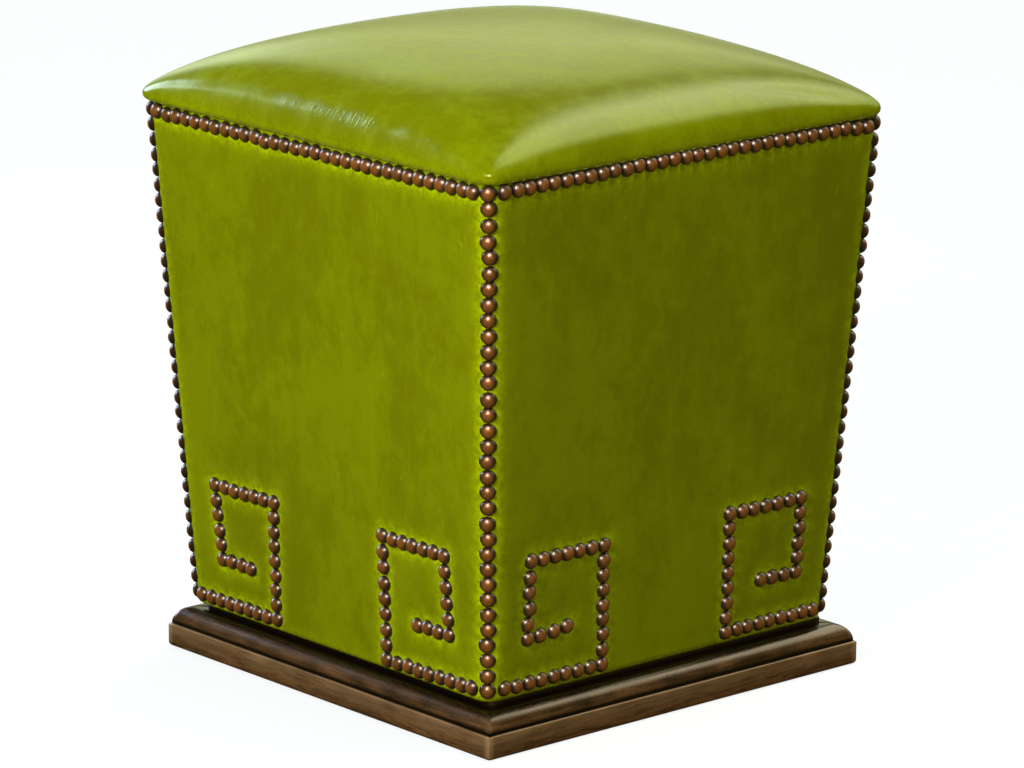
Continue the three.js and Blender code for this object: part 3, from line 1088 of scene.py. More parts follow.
@dataclass(frozen=True)
class SideCovers:
    """The four leather sides and the pads under them, held down by the nails."""

    box: BoxShape
    nailing: Nailing
    thickness: float = 1.5 * MM
    pad_thickness: float = 4 * MM
    columns: int = 190
    rows: int = 186
    puff: float = 1.5 * MM
    puff_reach: float = 13 * MM
    pinch: float = 0.45 * MM
    pinch_reach: float = 3.2 * MM
    hold: float = 4.6 * MM
    pucker: float = 1.1 * MM
    pucker_fade: float = 5.5 * MM
    foot_drop: float = 1.6 * MM
    roll: float = 5 * MM
    roll_in: float = 3 * MM
    tuck: float = 4 * MM
    # How far the painted highlight reaches round each nail.
    pull_reach: float = 4.0 * MM
    # How far the painted highlight scallops between the nails reach below the top row.
    scallop: float = 5 * MM
    swell: float = 0.55 * MM
    hang: float = 0.05 * MM
    # How far the painted highlight band reaches up from the foot.
    rim_reach: float = 4 * MM
    crumple: float = 0.03
    pad_fill: float = 0.8
    pad_coarseness: int = 3

    @property
    def step(self) -> float:
        """The step between nails along the top row."""
        return 2 * self.box.reach(self.nailing.top) / self.nailing.top_steps

    def nearest(self, side: Side, along: np.ndarray, level: np.ndarray) -> np.ndarray:
        """The distance from each place on a side to the nearest nail.

        Args:
            side: The side.
            along: Ways along the outline.
            level: Levels.

        Returns:
            The distances.
        """
        nails = self.nailing.all_on(side)
        found = np.full(along.shape, np.inf)
        for nail_along, nail_level in nails:
            found = np.minimum(found, np.hypot(along - nail_along, level - nail_level))
        return found

    def fullness(self, side: Side, along: np.ndarray, level: np.ndarray) -> np.ndarray:
        """How far the leather stands out: full between the nails, pinched at them, rolled in at the foot.

        Args:
            side: The side.
            along: Ways along the outline.
            level: Levels.

        Returns:
            How far each place stands out from the plain face.
        """
        away = np.clip(self.nearest(side, along, level) - self.hold, 0, None)
        full = self.puff * (1 - np.exp(-((away / self.puff_reach) ** 1.4)))
        pinched = self.pinch * (1 - np.exp(-((away / self.pinch_reach) ** 2)))
        below = np.clip(self.nailing.top - level, 0, None)
        wobble = ripple(along, level, (40 * MM, 25 * MM), side.value + 3.1)
        strength = 0.5 + 0.5 * ripple(along, level, (18 * MM, 300 * MM), side.value + 7.7)
        folds = np.cos(math.tau * along / self.step + wobble) * strength * np.exp(-below / self.pucker_fade)
        swells = ripple(along, level, (150 * MM, 190 * MM), side.value + 11.3)
        hangs = ripple(along, level, (11 * MM, 150 * MM), side.value + 17.9)
        out = full + pinched + self.pucker * folds + swells * self.swell + hangs * self.hang
        low = np.clip((self.box.foot - self.foot_drop + self.roll - level) / self.roll, 0, 1)
        high = np.clip((level - self.nailing.top) / self.tuck + 1, 0, 1)
        out = out * (1 - low) * (1 - high)
        return out - self.roll_in * (1 - np.sqrt(1 - low**2))

    def layer(self, side: Side, out: float, depth: float, foot: float, padding: bool) -> bmesh.types.BMesh:
        """One layer wrapped round a side, from corner to corner.

        Args:
            side: The side.
            out: How far its outside is from the leather's face, less than 0 inside.
            depth: Its thickness.
            foot: Its lowest level.
            padding: Whether it is the pad, which is coarser and has a plain back, so that only its outside
                follows the nails.

        Returns:
            The layer, at its side.
        """
        scale = self.pad_coarseness if padding else 1
        form = unit_slab(self.columns // scale, self.rows // scale)
        high = self.box.seam - GAP
        painted_highlights: list[np.ndarray] = []

        def rule(places: np.ndarray) -> np.ndarray:
            """Puts the slab on the side, and notes how hard the leather is pulled.

            Args:
                places: The slab's places.

            Returns:
                The points.
            """
            share = (places[:, 1] + 1) / 2
            level = foot + (high - foot) * share
            along = places[:, 0] * (self.box.reach(level) - GAP / 2)
            full = self.fullness(side, along, level)
            if padding:
                full = np.maximum(np.where(places[:, 2] < -0.5, 0, full), -depth * 0.8)
            # Painted highlight: light round each nail, in scallops between the nails under the top row, and
            # in a band along the rolled foot.
            away = np.clip(self.nearest(side, along, level) - self.hold, 0, None)
            patches = ripple(along, level, (8 * MM, 8 * MM), 5.0)
            pull = np.exp(-away / self.pull_reach) * (1.15 + 0.7 * patches)
            between = np.cos(math.tau * along / self.step) * 0.5 + 0.5
            below = np.clip(self.nailing.top - self.hold - level, 0, None)
            pull = np.maximum(pull, 0.9 * between**2 * np.exp(-below / self.scallop))
            rim = 0.6 * np.exp(-(level - foot) / self.rim_reach)
            painted_highlights.append(np.clip(np.maximum(pull, rim), 0, 1))
            return self.box.wrap(along, level, out + places[:, 2] * depth + full)

        reshape(form, rule)
        mark(form, "pull", painted_highlights[0])
        mark(form, "crumple", np.full(len(form.verts), self.crumple))
        bmesh.ops.transform(form, matrix=side.turn, verts=form.verts)
        return form

    def build(self, leather: bpy.types.Material, felt: bpy.types.Material) -> None:
        """Builds the leather and the pad of each side.

        Args:
            leather: The covers' material.
            felt: The pads' material.
        """
        wide, narrow = 2 * self.box.reach(self.box.seam), 2 * self.box.reach(self.box.foot)
        low = self.box.foot + self.roll
        for side in Side:
            label = side.label
            form = self.layer(side, 0.0, self.thickness, self.box.foot - self.foot_drop, padding=False)
            cover = new_piece(f"cover_{label}", form, leather, "leather", f"leather_side_{label}")
            form = self.layer(side, -self.thickness - GAP, self.pad_thickness, low, padding=True)
            pad = new_piece(f"pad_{label}", form, felt, "padding", f"side_pad_{label}")


@dataclass(frozen=True)
class Seat:
    """The crowned seat: leather over batting over foam, drawn in under the top row of nails.

    From the crown out to the hem it falls by rise_power, turns over the shoulder, and is drawn in by
    crease_depth over the nails, under which the hem runs straight down.
    """

    box: BoxShape
    crown: float
    cells: int = 200
    hem_share: float = 0.14
    shoulder_rise: float = 13.5 * MM
    overhang: float = 3.8 * MM
    shoulder_corner: float = 19 * MM
    left_fullness: float = 2.6 * MM
    left_power: int = 6
    fold_fade: int = 12
    crease_rise: float = 7.2 * MM
    crease_depth: float = 2.2 * MM
    fold_depth: float = 1.7 * MM
    fold_width: float = 4.6 * MM
    fold_place: tuple[float, float] = (196 * MM, 95 * MM)
    fold_slant: float = 0.18
    fold_starts: tuple[float, float] = (60 * MM, 130 * MM)
    fold_ends: tuple[float, float] = (145 * MM, 195 * MM)
    crumple_line: float = 207 * MM
    crumple_width: float = 7 * MM
    plan_power: float = 2.62
    rise_power: float = 0.42
    lean: tuple[float, float] = (-0.0044, -0.0050)
    leather: float = 1.5 * MM
    batting: float = 8 * MM
    batting_skirt: float = 2.8 * MM
    foam_clearance: float = 1.2 * MM
    # A painted highlight low on the seat's slopes: how far up it reaches from the crease, and how strong it
    # is.
    pull_reach: float = 9 * MM
    pull_strength: float = 0.3
    plain_crumple: float = 0.03
    slope_crumple: float = 0.25
    front_crumple: float = 0.75
    turned_share: float = 0.7
    swell: float = 0.6 * MM
    small_swell: float = 0.12 * MM
    fan: float = 0.5 * MM
    fan_folds: int = 7
    fan_reach: float = 75 * MM
    fan_start: float = 26 * MM

    @classmethod
    def from_frame(cls, box: BoxShape) -> "Seat":
        """Reads the height of the crown from the frame."""
        return cls(box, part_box("leather_top")[1].z - box.seam - cls.shoulder_rise)

    def plan(self, q: np.ndarray, half: np.ndarray, corner: np.ndarray, down: np.ndarray) -> np.ndarray:
        """Places on a square plan, softly rounded on top and round-cornered like the box at the hem.

        Args:
            q: Places from -1 to 1 both ways, one in each row.
            half: Half the plan's width at each place.
            corner: The radius of its corners at each place.
            down: How far down the hem each place is, from 0 at the shoulder to 1.

        Returns:
            The places in metres.
        """
        soft_share = self.shoulder_corner * CUT_CORNER / half[:, None]
        soft = q * (1 - soft_share * np.abs(q[:, ::-1]) ** (1 / soft_share)) * half[:, None]
        edge = q * half[:, None]
        straight = (half - corner)[:, None]
        inner = np.clip(edge, -straight, straight)
        arm = edge - inner
        arm *= corner[:, None] / np.maximum(np.linalg.norm(arm, axis=1)[:, None], 1e-12)
        return np.where(down[:, None] > 0, soft + (inner + arm - soft) * down[:, None], soft)

    def folds(self, plan: np.ndarray, q: np.ndarray) -> np.ndarray:
        """Low folds that fan out from the corners, and slow swells.

        Args:
            plan: Places in metres.
            q: The same places from -1 to 1.

        Returns:
            How far each place is raised.
        """
        rise = ripple(plan[:, 0], plan[:, 1], (110 * MM, 110 * MM), 2.3) * self.swell
        rise += ripple(plan[:, 0], plan[:, 1], (38 * MM, 38 * MM), 8.3) * self.small_swell
        head = self.box.half(self.box.seam)
        for side in Side:
            corner = side.turn @ Vector((head, -head, 0))
            span = plan - np.array(corner[:2])
            radius = np.hypot(span[:, 0], span[:, 1])
            angle = np.arctan2(span[:, 1], span[:, 0])
            fade = np.exp(-radius / self.fan_reach) * (1 - np.exp(-((radius / self.fan_start) ** 2)))
            rise += np.cos(self.fan_folds * angle + side.value * 1.7) * fade * self.fan
        rise *= 1 - np.abs(q).max(axis=1) ** self.fold_fade
        return rise - self.fold_depth * self.fold_share(plan)

    def fold_share(self, plan: np.ndarray) -> np.ndarray:
        """A shallow fold that runs along the right edge into the back corner.

        Args:
            plan: Places in metres.

        Returns:
            How deep the fold is at each place, from 0 to 1.
        """
        x, y = plan[:, 0], plan[:, 1]
        line = self.fold_place[0] + self.fold_slant * (y - self.fold_place[1])
        across = np.exp(-(((x - line) / self.fold_width) ** 2))
        rising, falling = np.interp(y, self.fold_starts, (0, 1)), np.interp(y, self.fold_ends, (1, 0))
        return across * rising * falling

    def surface(
        self, places: np.ndarray, side_inset: np.ndarray, crown_inset: np.ndarray, crease: float | np.ndarray
    ) -> np.ndarray:
        """The seat's outside, or a layer inside it.

        Args:
            places: Places from -1 to 1, one in each row; the outermost share of each way is the hem, which
                goes down from the shoulder.
            side_inset: How far inside the leather's face the layer's sides are.
            crown_inset: How far under the crown its top is.
            crease: How far it is drawn in over the nails.

        Returns:
            The points.
        """
        p = places[:, :2] / (1 - self.hem_share)
        reach = np.abs(p).max(axis=1)
        inside = reach <= 1
        q = np.sin(np.where(inside[:, None], p, p / np.maximum(reach, 1e-9)[:, None]) * QUARTER)
        down = np.clip((reach - 1) * (1 - self.hem_share) / self.hem_share, 0, 1)
        angle = np.clip(down / self.turned_share, 0, 1) * QUARTER
        below = np.clip((down - self.turned_share) / (1 - self.turned_share), 0, 1)
        level = self.box.seam + self.shoulder_rise - (self.shoulder_rise - self.crease_rise) * np.sin(angle)
        level -= self.crease_rise * below
        out = -crease + (self.overhang + crease) * np.cos(angle)
        out += crease * below
        towards_left = np.clip(-(q[:, 0] + q[:, 1]) / 2, 0, 1) ** self.left_power
        out += self.left_fullness * towards_left * np.cos(angle)
        half = self.box.half(level) + out - side_inset
        plan = self.plan(q, half, self.box.corner - side_inset, down)
        fall = (1 - np.abs(q) ** self.plan_power).clip(0)
        share = np.where(inside, (fall[:, 0] * fall[:, 1]) ** self.rise_power, 0)
        height = level + share * (self.crown - crown_inset + plan @ np.array(self.lean))
        height = height + np.where(inside, self.folds(plan, q), 0)
        return np.stack([plan[:, 0], plan[:, 1], height], axis=-1)

    def leather_form(self) -> bmesh.types.BMesh:
        """The leather cover, with its hem.

        Returns:
            The cover.
        """
        form = unit_slab(self.cells, self.cells)
        painted_highlights: list[np.ndarray] = []
        crumples: list[np.ndarray] = []

        def rule(places: np.ndarray) -> np.ndarray:
            """Puts the slab on the seat, and notes where a highlight is painted and where it is wrinkled.

            Args:
                places: The slab's places.

            Returns:
                The points.
            """
            inset = -places[:, 2] * self.leather
            points = self.surface(places, inset, inset, self.crease_depth)
            # Painted highlight: lighter leather just above the crease, fading up the slope.
            low = points[:, 2] - self.box.seam - self.crease_rise
            painted_highlights.append(np.exp(-np.clip(low, 0, None) / self.pull_reach) * self.pull_strength)
            crumples.append(self.crumpled(points))
            return points

        reshape(form, rule)
        mark(form, "pull", painted_highlights[0])
        mark(form, "crumple", crumples[0])
        return form

    def crumpled(self, points: np.ndarray) -> np.ndarray:
        """Where the leather is finely wrinkled: in patches along the slopes, most on the front.

        Args:
            points: Places in metres.

        Returns:
            How strongly each place is wrinkled, from 0 to 1.
        """
        found = np.full(len(points), self.plain_crumple)
        for side in Side:
            turned = points @ np.array(side.turn.to_3x3())
            slope = np.exp(-(((turned[:, 1] + self.crumple_line) / self.crumple_width) ** 2))
            patches = ripple(turned[:, 0], turned[:, 2], (30 * MM, 300 * MM), side.value + 0.7)
            strength = self.front_crumple if side is Side.FRONT else self.slope_crumple
            found = np.maximum(found, strength * slope * np.clip(patches * 2.4 + 0.35, 0, 1))
        return found

    def batting_form(self) -> bmesh.types.BMesh:
        """The batting, thick on top and thin down the sides.

        Returns:
            The batting.
        """
        form = unit_slab(self.cells // 3, self.cells // 3)

        def rule(places: np.ndarray) -> np.ndarray:
            """Puts the slab between the leather and the foam.

            Args:
                places: The slab's places.

            Returns:
                The points.
            """
            back = -places[:, 2]
            side = self.leather + GAP + back * self.batting_skirt
            top = self.leather + GAP + back * self.batting
            return self.surface(places, side, top, self.crease_depth * (1 - back[0]))

        reshape(form, rule)
        return form

    def foam_form(self) -> bmesh.types.BMesh:
        """The foam: a crowned top on a flat underside.

        Returns:
            The foam.
        """
        form = unit_slab(self.cells // 4, self.cells // 4)
        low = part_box("seat_foam")[0].z
        side = self.leather + 2 * GAP + self.batting_skirt + self.foam_clearance + self.overhang
        top = self.leather + 2 * GAP + self.batting

        def rule(places: np.ndarray) -> np.ndarray:
            """Puts the slab under the batting, on a flat underside.

            Args:
                places: The slab's places.

            Returns:
                The points.
            """
            wide = places.copy()
            wide[:, :2] *= 1 - self.hem_share
            count = len(places)
            points = self.surface(wide, np.full(count, side), np.full(count, top), 0.0)
            points[:, 2] = np.where(places[:, 2] < -0.5, low, np.maximum(points[:, 2], low + 2 * MM))
            return points

        reshape(form, rule)
        return form

    def build(
        self, leather: bpy.types.Material, batting: bpy.types.Material, foam: bpy.types.Material
    ) -> None:
        """Builds the three layers of the seat.

        Args:
            leather: The cover's material.
            batting: The batting's material.
            foam: The foam's material.
        """
        rows = (
            ("cover_top", self.leather_form(), leather, "leather", "leather_top", 0.95),
            ("batting_top", self.batting_form(), batting, "padding", "seat_batting", 0.8),
            ("foam_top", self.foam_form(), foam, "foam", "seat_foam", 1.0),
        )
        for name, form, finish, slot, node, fill in rows:
            new_piece(name, form, finish, slot, node)


# The base


@dataclass(frozen=True)
class Base:
    """The moulded walnut base: four mitred plinth boards, four mouldings on them, and their screws."""

    board_arris: float = 1.0 * MM
    board_foot_arris: float = 3.2 * MM
    moulding_arris: float = 0.7 * MM
    mitre_arris: float = 0.6 * MM
    mitre_gap: float = 0.08 * MM
    round_segments: int = 14
    pieces_along: int = 60
    screw_sides: int = 32
    head_room: float = 4.7 * MM
    head_clearance: float = 0.3 * MM
    recess: tuple[float, float, float] = (5.0 * MM, 1.1 * MM, 3.0 * MM)
    aside: tuple[float, float] = (2.2 * MM, 2.4 * MM)
    spare: float = 0.9 * MM
    relief: float = 3 * MM
    quirk: float = 0.4 * MM
    saw_waste: float = 20 * MM
    drill_length: float = 60 * MM
    patch: tuple[float, float] = (22 * MM, 60 * MM)
    # Painted shade, near black: where the band in the groove at the moulding's foot and the band over its
    # crest begin, as shares of the round's height, and how sharply they fade.
    groove: tuple[float, float] = (0.24, 26)
    crest: tuple[float, float] = (0.74, 14)
    mitre_depth: float = 25 * MM
    shank_share: float = 0.52
    board_edge_wear: float = 0.9 * MM
    board_end_wear: float = 1.0 * MM
    face_depth: float = 1.2 * MM
    # How far in from the board's face its top is darkened under the moulding.
    glazed_ledge: float = 6 * MM
    moulding_edge_wear: float = 0.6 * MM
    moulding_end_wear: float = 1.2 * MM

    def section(self, corners: Sequence[tuple[float, float]], length: float) -> bmesh.types.BMesh:
        """A straight length of a section, along X and centred.

        Args:
            corners: The section's corners, as ways out from the middle of the stool and levels.
            length: The length.

        Returns:
            The length, facing the front.
        """
        form = bmesh.new()
        verts = [form.verts.new((-length / 2, -out, level)) for out, level in corners]
        face = form.faces.new(verts)
        grown = bmesh.ops.extrude_face_region(form, geom=[face])["geom"]
        far = [item for item in grown if isinstance(item, bmesh.types.BMVert)]
        bmesh.ops.translate(form, vec=(length, 0, 0), verts=far)
        bmesh.ops.recalc_face_normals(form, faces=form.faces[:])
        return form

    def ease(self, form: bmesh.types.BMesh, corner: tuple[float, float], width: float, segments: int) -> None:
        """Rounds the long edge that runs along one corner of the section.

        Args:
            form: The length.
            corner: The corner, as its way out and its level.
            width: The radius.
            segments: Faces round it.
        """

        def is_there(vert: bmesh.types.BMVert) -> bool:
            """Whether a vertex stands on the corner's line."""
            return abs(vert.co.y + corner[0]) < TOUCH and abs(vert.co.z - corner[1]) < TOUCH

        edges = [edge for edge in form.edges if all(is_there(vert) for vert in edge.verts)]
        bevel(form, edges, width, segments)

    def mitre(self, form: bmesh.types.BMesh) -> None:
        """Cuts both ends at 45 degrees and eases the outer ends a little, but not above or below.

        Args:
            form: The length, facing the front.
        """
        for end in (-1, 1):
            saw(form, (-end * self.mitre_gap / 2, 0, 0), (end, 1, 0), clear=True)
        outer = min(vert.co.y for vert in form.verts)
        low, high = min(vert.co.z for vert in form.verts), max(vert.co.z for vert in form.verts)

        def is_end(face: bmesh.types.BMFace) -> bool:
            """Whether a face is a mitre's cut, upright and at 45 degrees."""
            x, y, z = face.normal
            return max(abs(abs(x) - abs(y)), abs(z)) < SQUARE

        def shows(edge: bmesh.types.BMEdge) -> bool:
            """Whether an edge of a mitre can be seen: not above, below or far inside.

            Args:
                edge: The edge.

            Returns:
                True where it can.
            """
            levels = [vert.co.z for vert in edge.verts]
            flat = max(levels) < low + TOUCH or min(levels) > high - TOUCH
            return not flat and min(vert.co.y for vert in edge.verts) < outer + self.mitre_depth

        edges = [edge for edge in form.edges if shows(edge) and any(is_end(face) for face in edge.link_faces)]
        bevel(form, edges, self.mitre_arris, 2)

    def divide(self, form: bmesh.types.BMesh, length: float) -> None:
        """Cuts a length across, so that wear can change along it."""
        for step in range(1, self.pieces_along):
            saw(form, (length * (step / self.pieces_along - 0.5), 0, 0), (1, 0, 0))

    def dress(
        self, form: bmesh.types.BMesh, rule: Callable[[Vector, float], tuple[float, float]], seed: float
    ) -> None:
        """Marks where it is darkened, with glazing and painted shade, and where it is lightened, with wear
        and a painted glint.

        Args:
            form: The length, facing the front.
            rule: Takes a place and noise there, and gives the shares of darkening and of lightening.
            seed: Where in the noise to read.
        """
        shares = []
        for vert in form.verts:
            patch = noise.noise((vert.co.x / self.patch[0], vert.co.y / self.patch[1], seed))
            shares.append(rule(vert.co, patch))
        mark(form, "glaze", [max(0.0, min(1.0, share[0])) for share in shares])
        mark(form, "worn", [max(0.0, min(1.0, share[1])) for share in shares])

    def board(self, side: Side, finish: bpy.types.Material) -> None:
        """Builds one plinth board.

        Args:
            side: Its side.
            finish: Its material.
        """
        low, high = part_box("plinth_board_front")
        inner, outer = -high.y, self.spare - low.y
        corners = ((outer, low.z), (outer, high.z), (inner, high.z), (inner, low.z))
        form = self.section(corners, 2 * outer + self.saw_waste)
        self.divide(form, 2 * outer)
        self.ease(form, (outer, high.z), self.board_arris, 3)
        self.ease(form, (outer, low.z), self.board_foot_arris, 4)
        self.mitre(form)
        form = self.bore(form, side, seat=True)

        def wear(place: Vector, patch: float) -> tuple[float, float]:
            """Rubs the board's arris and its mitres.

            Args:
                place: A place on the length.
                patch: The noise there.

            Returns:
                The shares of darkening and of wear.
            """
            arris = math.hypot(place.y + outer, place.z - high.z)
            end = outer - abs(place.x)
            in_face = -place.y > outer - self.face_depth
            worn = math.exp(-arris / self.board_edge_wear) * (0.7 + 0.5 * patch)
            worn += 0.9 * math.exp(-end / self.board_end_wear) * in_face
            # Dark under the moulding, and patchy glazing elsewhere.
            under_moulding = -place.y < outer - self.glazed_ledge and place.z > high.z - MM
            return max(0.12 * patch, 0.9 if under_moulding else 0.0), worn

        self.dress(form, wear, side.value + 0.4)
        self.finish_length(form, side, finish, f"plinth_{side.label}", f"plinth_board_{side.label}")

    def moulding(self, side: Side, finish: bpy.types.Material) -> None:
        """Builds one length of moulding: a quarter round, a ledge and a neck.

        Args:
            side: Its side.
            finish: Its material.
        """
        low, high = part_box("base_moulding_front")
        inner, outer = self.relief - high.y, self.spare - low.y
        solid = [vert.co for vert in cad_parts["base_moulding_front"].data.vertices]
        ledge = max(round(place.z, 5) for place in solid if place.z < high.z - 2 * MM)
        neck = max(round(-place.y, 5) for place in solid if place.z > high.z - 0.1 * MM)
        corners = (
            (outer, low.z), (outer, ledge), (neck, ledge), (neck, high.z), (inner, high.z), (inner, low.z),
        )
        radius = ledge - low.z
        form = self.section(corners, 2 * outer + self.saw_waste)
        self.divide(form, 2 * outer)
        self.ease(form, (outer, ledge), radius - self.quirk, self.round_segments)
        self.ease(form, (neck, high.z), self.moulding_arris, 3)
        self.mitre(form)
        form = self.bore(form, side, seat=False)

        def wear(place: Vector, patch: float) -> tuple[float, float]:
            """Darkens the moulding's groove and crest with painted shade and the rest with patchy glazing,
            and lightens its mitres with wear and its neck's arris with wear and a painted glint.

            Args:
                place: A place on the length.
                patch: The noise there.

            Returns:
                The shares of darkening and of lightening.
            """
            # Painted shade: near black in the groove at the foot and over the crest under the leather's
            # overhang; patchy glazing between.
            rise = (place.z - low.z) / radius
            groove = 1 / (1 + math.exp((rise - self.groove[0]) * self.groove[1]))
            top = 1 / (1 + math.exp(-(rise - self.crest[0]) * self.crest[1]))
            end = outer - abs(place.x) - max(0.0, outer + place.y)
            worn = 0.35 * math.exp(-abs(end) / self.moulding_end_wear) * (1 - top) * (1 - groove)
            # Wear and a painted glint: a light line along the neck's top arris.
            arris = math.hypot(place.y + neck, place.z - high.z)
            worn += 0.35 * math.exp(-arris / self.moulding_edge_wear)
            return max(groove, top, 0.36 + 0.6 * patch), worn

        self.dress(form, wear, side.value + 5.2)
        self.finish_length(form, side, finish, f"moulding_{side.label}", f"base_moulding_{side.label}")

    def finish_length(
        self, form: bmesh.types.BMesh, side: Side, finish: bpy.types.Material, name: str, node: str
    ) -> None:
        """Turns a length to its side and makes a piece of it, a little aside as the base was fitted.

        Args:
            form: The length, facing the front, which is freed.
            side: Its side.
            finish: Its material.
            name: The piece's name.
            node: The frame's node that it replaces.
        """
        bmesh.ops.transform(form, matrix=side.turn, verts=form.verts)
        bmesh.ops.translate(form, vec=(*self.aside, 0), verts=form.verts)
        new_piece(name, form, finish, "walnut", node)

    def bore(self, form: bmesh.types.BMesh, side: Side, seat: bool) -> bmesh.types.BMesh:
        """Drills a length for its screw, where the screw goes up into the box.

        Args:
            form: The length, facing the front, which is freed.
            side: Its side.
            seat: Whether the screw's head is sunk into it.

        Returns:
            The drilled length.
        """
        low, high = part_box("base_screw_front")
        centre = (low + high) / 2 - side.turn.inverted() @ Vector((*self.aside, 0))
        head = (high.x - low.x) / 2
        drills = [(head * self.shank_share + self.head_clearance, self.drill_length)]
        if seat:
            drills.append((head + self.head_clearance, 2 * self.head_room))
        for radius, length in drills:
            drill = bmesh.new()
            place = Matrix.Translation((centre.x, centre.y, 0 if seat else low.z + length / 2))
            bmesh.ops.create_cone(
                drill, cap_ends=True, segments=self.screw_sides, radius1=radius, radius2=radius, depth=length,
                matrix=place,
            )
            form = carve(form, drill)
        return form

    def screw(self, side: Side, finish: bpy.types.Material) -> None:
        """Builds one base screw, with a domed edge to its head and a cross recess.

        Args:
            side: Its side.
            finish: Its material.
        """
        low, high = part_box("base_screw_front")
        centre = Vector(((low.x + high.x) / 2, (low.y + high.y) / 2, 0))
        head, length = (high.x - low.x) / 2, high.z - low.z
        shank = head * self.shank_share
        form = bmesh.new()
        profile = [
            (0.0, 0.0), (head * 0.8, 0.0), (head, 0.7 * MM), (head, 1.6 * MM), (shank, 3.2 * MM),
            (shank, length - 4 * MM), (0.0, length),
        ]
        verts = [form.verts.new((radius, 0, level)) for radius, level in profile]
        edges = [form.edges.new(pair) for pair in zip(verts, verts[1:])]
        bmesh.ops.spin(
            form, geom=verts + edges, cent=(0, 0, 0), axis=(0, 0, 1), angle=math.tau, steps=self.screw_sides,
            use_merge=True,
        )
        bmesh.ops.remove_doubles(form, verts=form.verts, dist=0.001 * MM)
        bmesh.ops.recalc_face_normals(form, faces=form.faces[:])
        for turn in (0, QUARTER):
            slot = bmesh.new()
            place = Matrix.Rotation(turn, 4, "Z") @ Matrix.Diagonal((*self.recess, 1))
            bmesh.ops.create_cube(slot, size=1, matrix=place)
            form = carve(form, slot)
        bmesh.ops.translate(form, vec=centre + Vector((0, 0, low.z)), verts=form.verts)
        bmesh.ops.transform(form, matrix=side.turn, verts=form.verts)
        new_piece(f"screw_{side.label}", form, finish, "screw_steel", f"base_screw_{side.label}")

    def build(
        self, along_x: bpy.types.Material, along_y: bpy.types.Material, steel: bpy.types.Material
    ) -> None:
        """Builds the whole base.

        Args:
            along_x: The walnut of lengths along X.
            along_y: The walnut of lengths along Y.
            steel: The screws' material.
        """
        for side in Side:
            wood = along_x if side.runs_along_x else along_y
            self.board(side, wood)
            self.moulding(side, wood)
            self.screw(side, steel)


@dataclass(frozen=True)
class DustCover:
    """Black cloth under the box, stapled to the bottom rails, with a slight sag."""

    sag: float = 1.6 * MM
    cells: int = 72
    staples_a_side: int = 9
    staple_length: float = 10 * MM
    staple_wire: float = 0.6 * MM
    staple_inset: float = 5 * MM
    staple_flatness: float = 1.6
    thickness_share: float = 0.75
    wave: float = 45 * MM
    wave_height: float = 0.8 * MM

    def cloth_form(self, half: float, top: float, thickness: float) -> bmesh.types.BMesh:
        """The cloth, a little slack towards the middle.

        Args:
            half: Half its width.
            top: The level of its upper face at the edges.
            thickness: Its thickness.

        Returns:
            The cloth.
        """
        form = unit_slab(self.cells, self.cells)

        def rule(places: np.ndarray) -> np.ndarray:
            """Hangs the slab between the rails.

            Args:
                places: The slab's places.

            Returns:
                The points.
            """
            plan = places[:, :2] * half
            hang = np.cos(places[:, 0] * QUARTER) * np.cos(places[:, 1] * QUARTER)
            waves = ripple(plan[:, 0], plan[:, 1], (self.wave, self.wave), 4.4) * hang * self.wave_height
            level = top + places[:, 2] * thickness - self.sag * hang + waves
            return np.stack([plan[:, 0], plan[:, 1], level], axis=-1)

        reshape(form, rule)
        return form

    def staples_form(self, line: float, level: float) -> bmesh.types.BMesh:
        """The crowns of all staples, in one form.

        Args:
            line: How far from the middle of the stool the rows stand.
            level: The level of the staples' middle.

        Returns:
            The staples.
        """
        form = bmesh.new()
        wire = self.staple_wire
        size = Matrix.Diagonal((self.staple_length, wire * self.staple_flatness, wire, 1))
        for side in Side:
            for step in range(self.staples_a_side):
                along = line * (2 * (step + 0.5) / self.staples_a_side - 1)
                made = bmesh.ops.create_cube(form, size=1)["verts"]
                seat = side.turn @ Matrix.Translation((along, -line, level)) @ size
                bmesh.ops.transform(form, matrix=seat, verts=made)
        bevel(form, form.edges[:], wire / 4, 1)
        return form

    def build(self, cloth: bpy.types.Material, steel: bpy.types.Material) -> None:
        """Builds the cloth and its staples.

        Args:
            cloth: The cloth's material.
            steel: The staples' material.
        """
        low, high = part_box("dust_cover")
        half, thickness = high.x, (high.z - low.z) * self.thickness_share
        form = self.cloth_form(half, high.z, thickness)
        piece = new_piece("dust_cloth", form, cloth, "dust_cloth", "dust_cover")
        level = high.z - thickness - self.staple_wire / 2 - 0.05 * MM
        staples = self.staples_form(half - self.staple_inset, level)
        new_piece("cover_staples", staples, steel, "screw_steel", None)


@dataclass(frozen=True)
class Timber:
    """The frame's own posts, rails, panels and deck, which keep their shapes and get their wood."""

    along: float = 5
    across: float = 90

    def dress(self) -> None:
        """Gives each piece of timber its finish, with the grain along it."""
        pine = PineFinish()
        along_x = pine.material("pine_along_x", (self.along, self.across, self.across))
        along_y = pine.material("pine_along_y", (self.across, self.along, self.across))
        upright = pine.material("pine_upright", (self.across, self.across, self.along))
        plywood = PlywoodFinish().material()
        woods = {"seat_deck": plywood}
        for side in Side:
            level = along_x if side.runs_along_x else along_y
            woods[f"bottom_rail_{side.label}"] = woods[f"top_rail_{side.label}"] = level
            woods[f"side_panel_{side.label}"] = plywood
            woods[f"corner_post_{side.corner}"] = upright
        for node, wood in woods.items():
            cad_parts[node].material_slots[0].material = wood
            log.info("%s: %s", node, wood.name)


# The studio


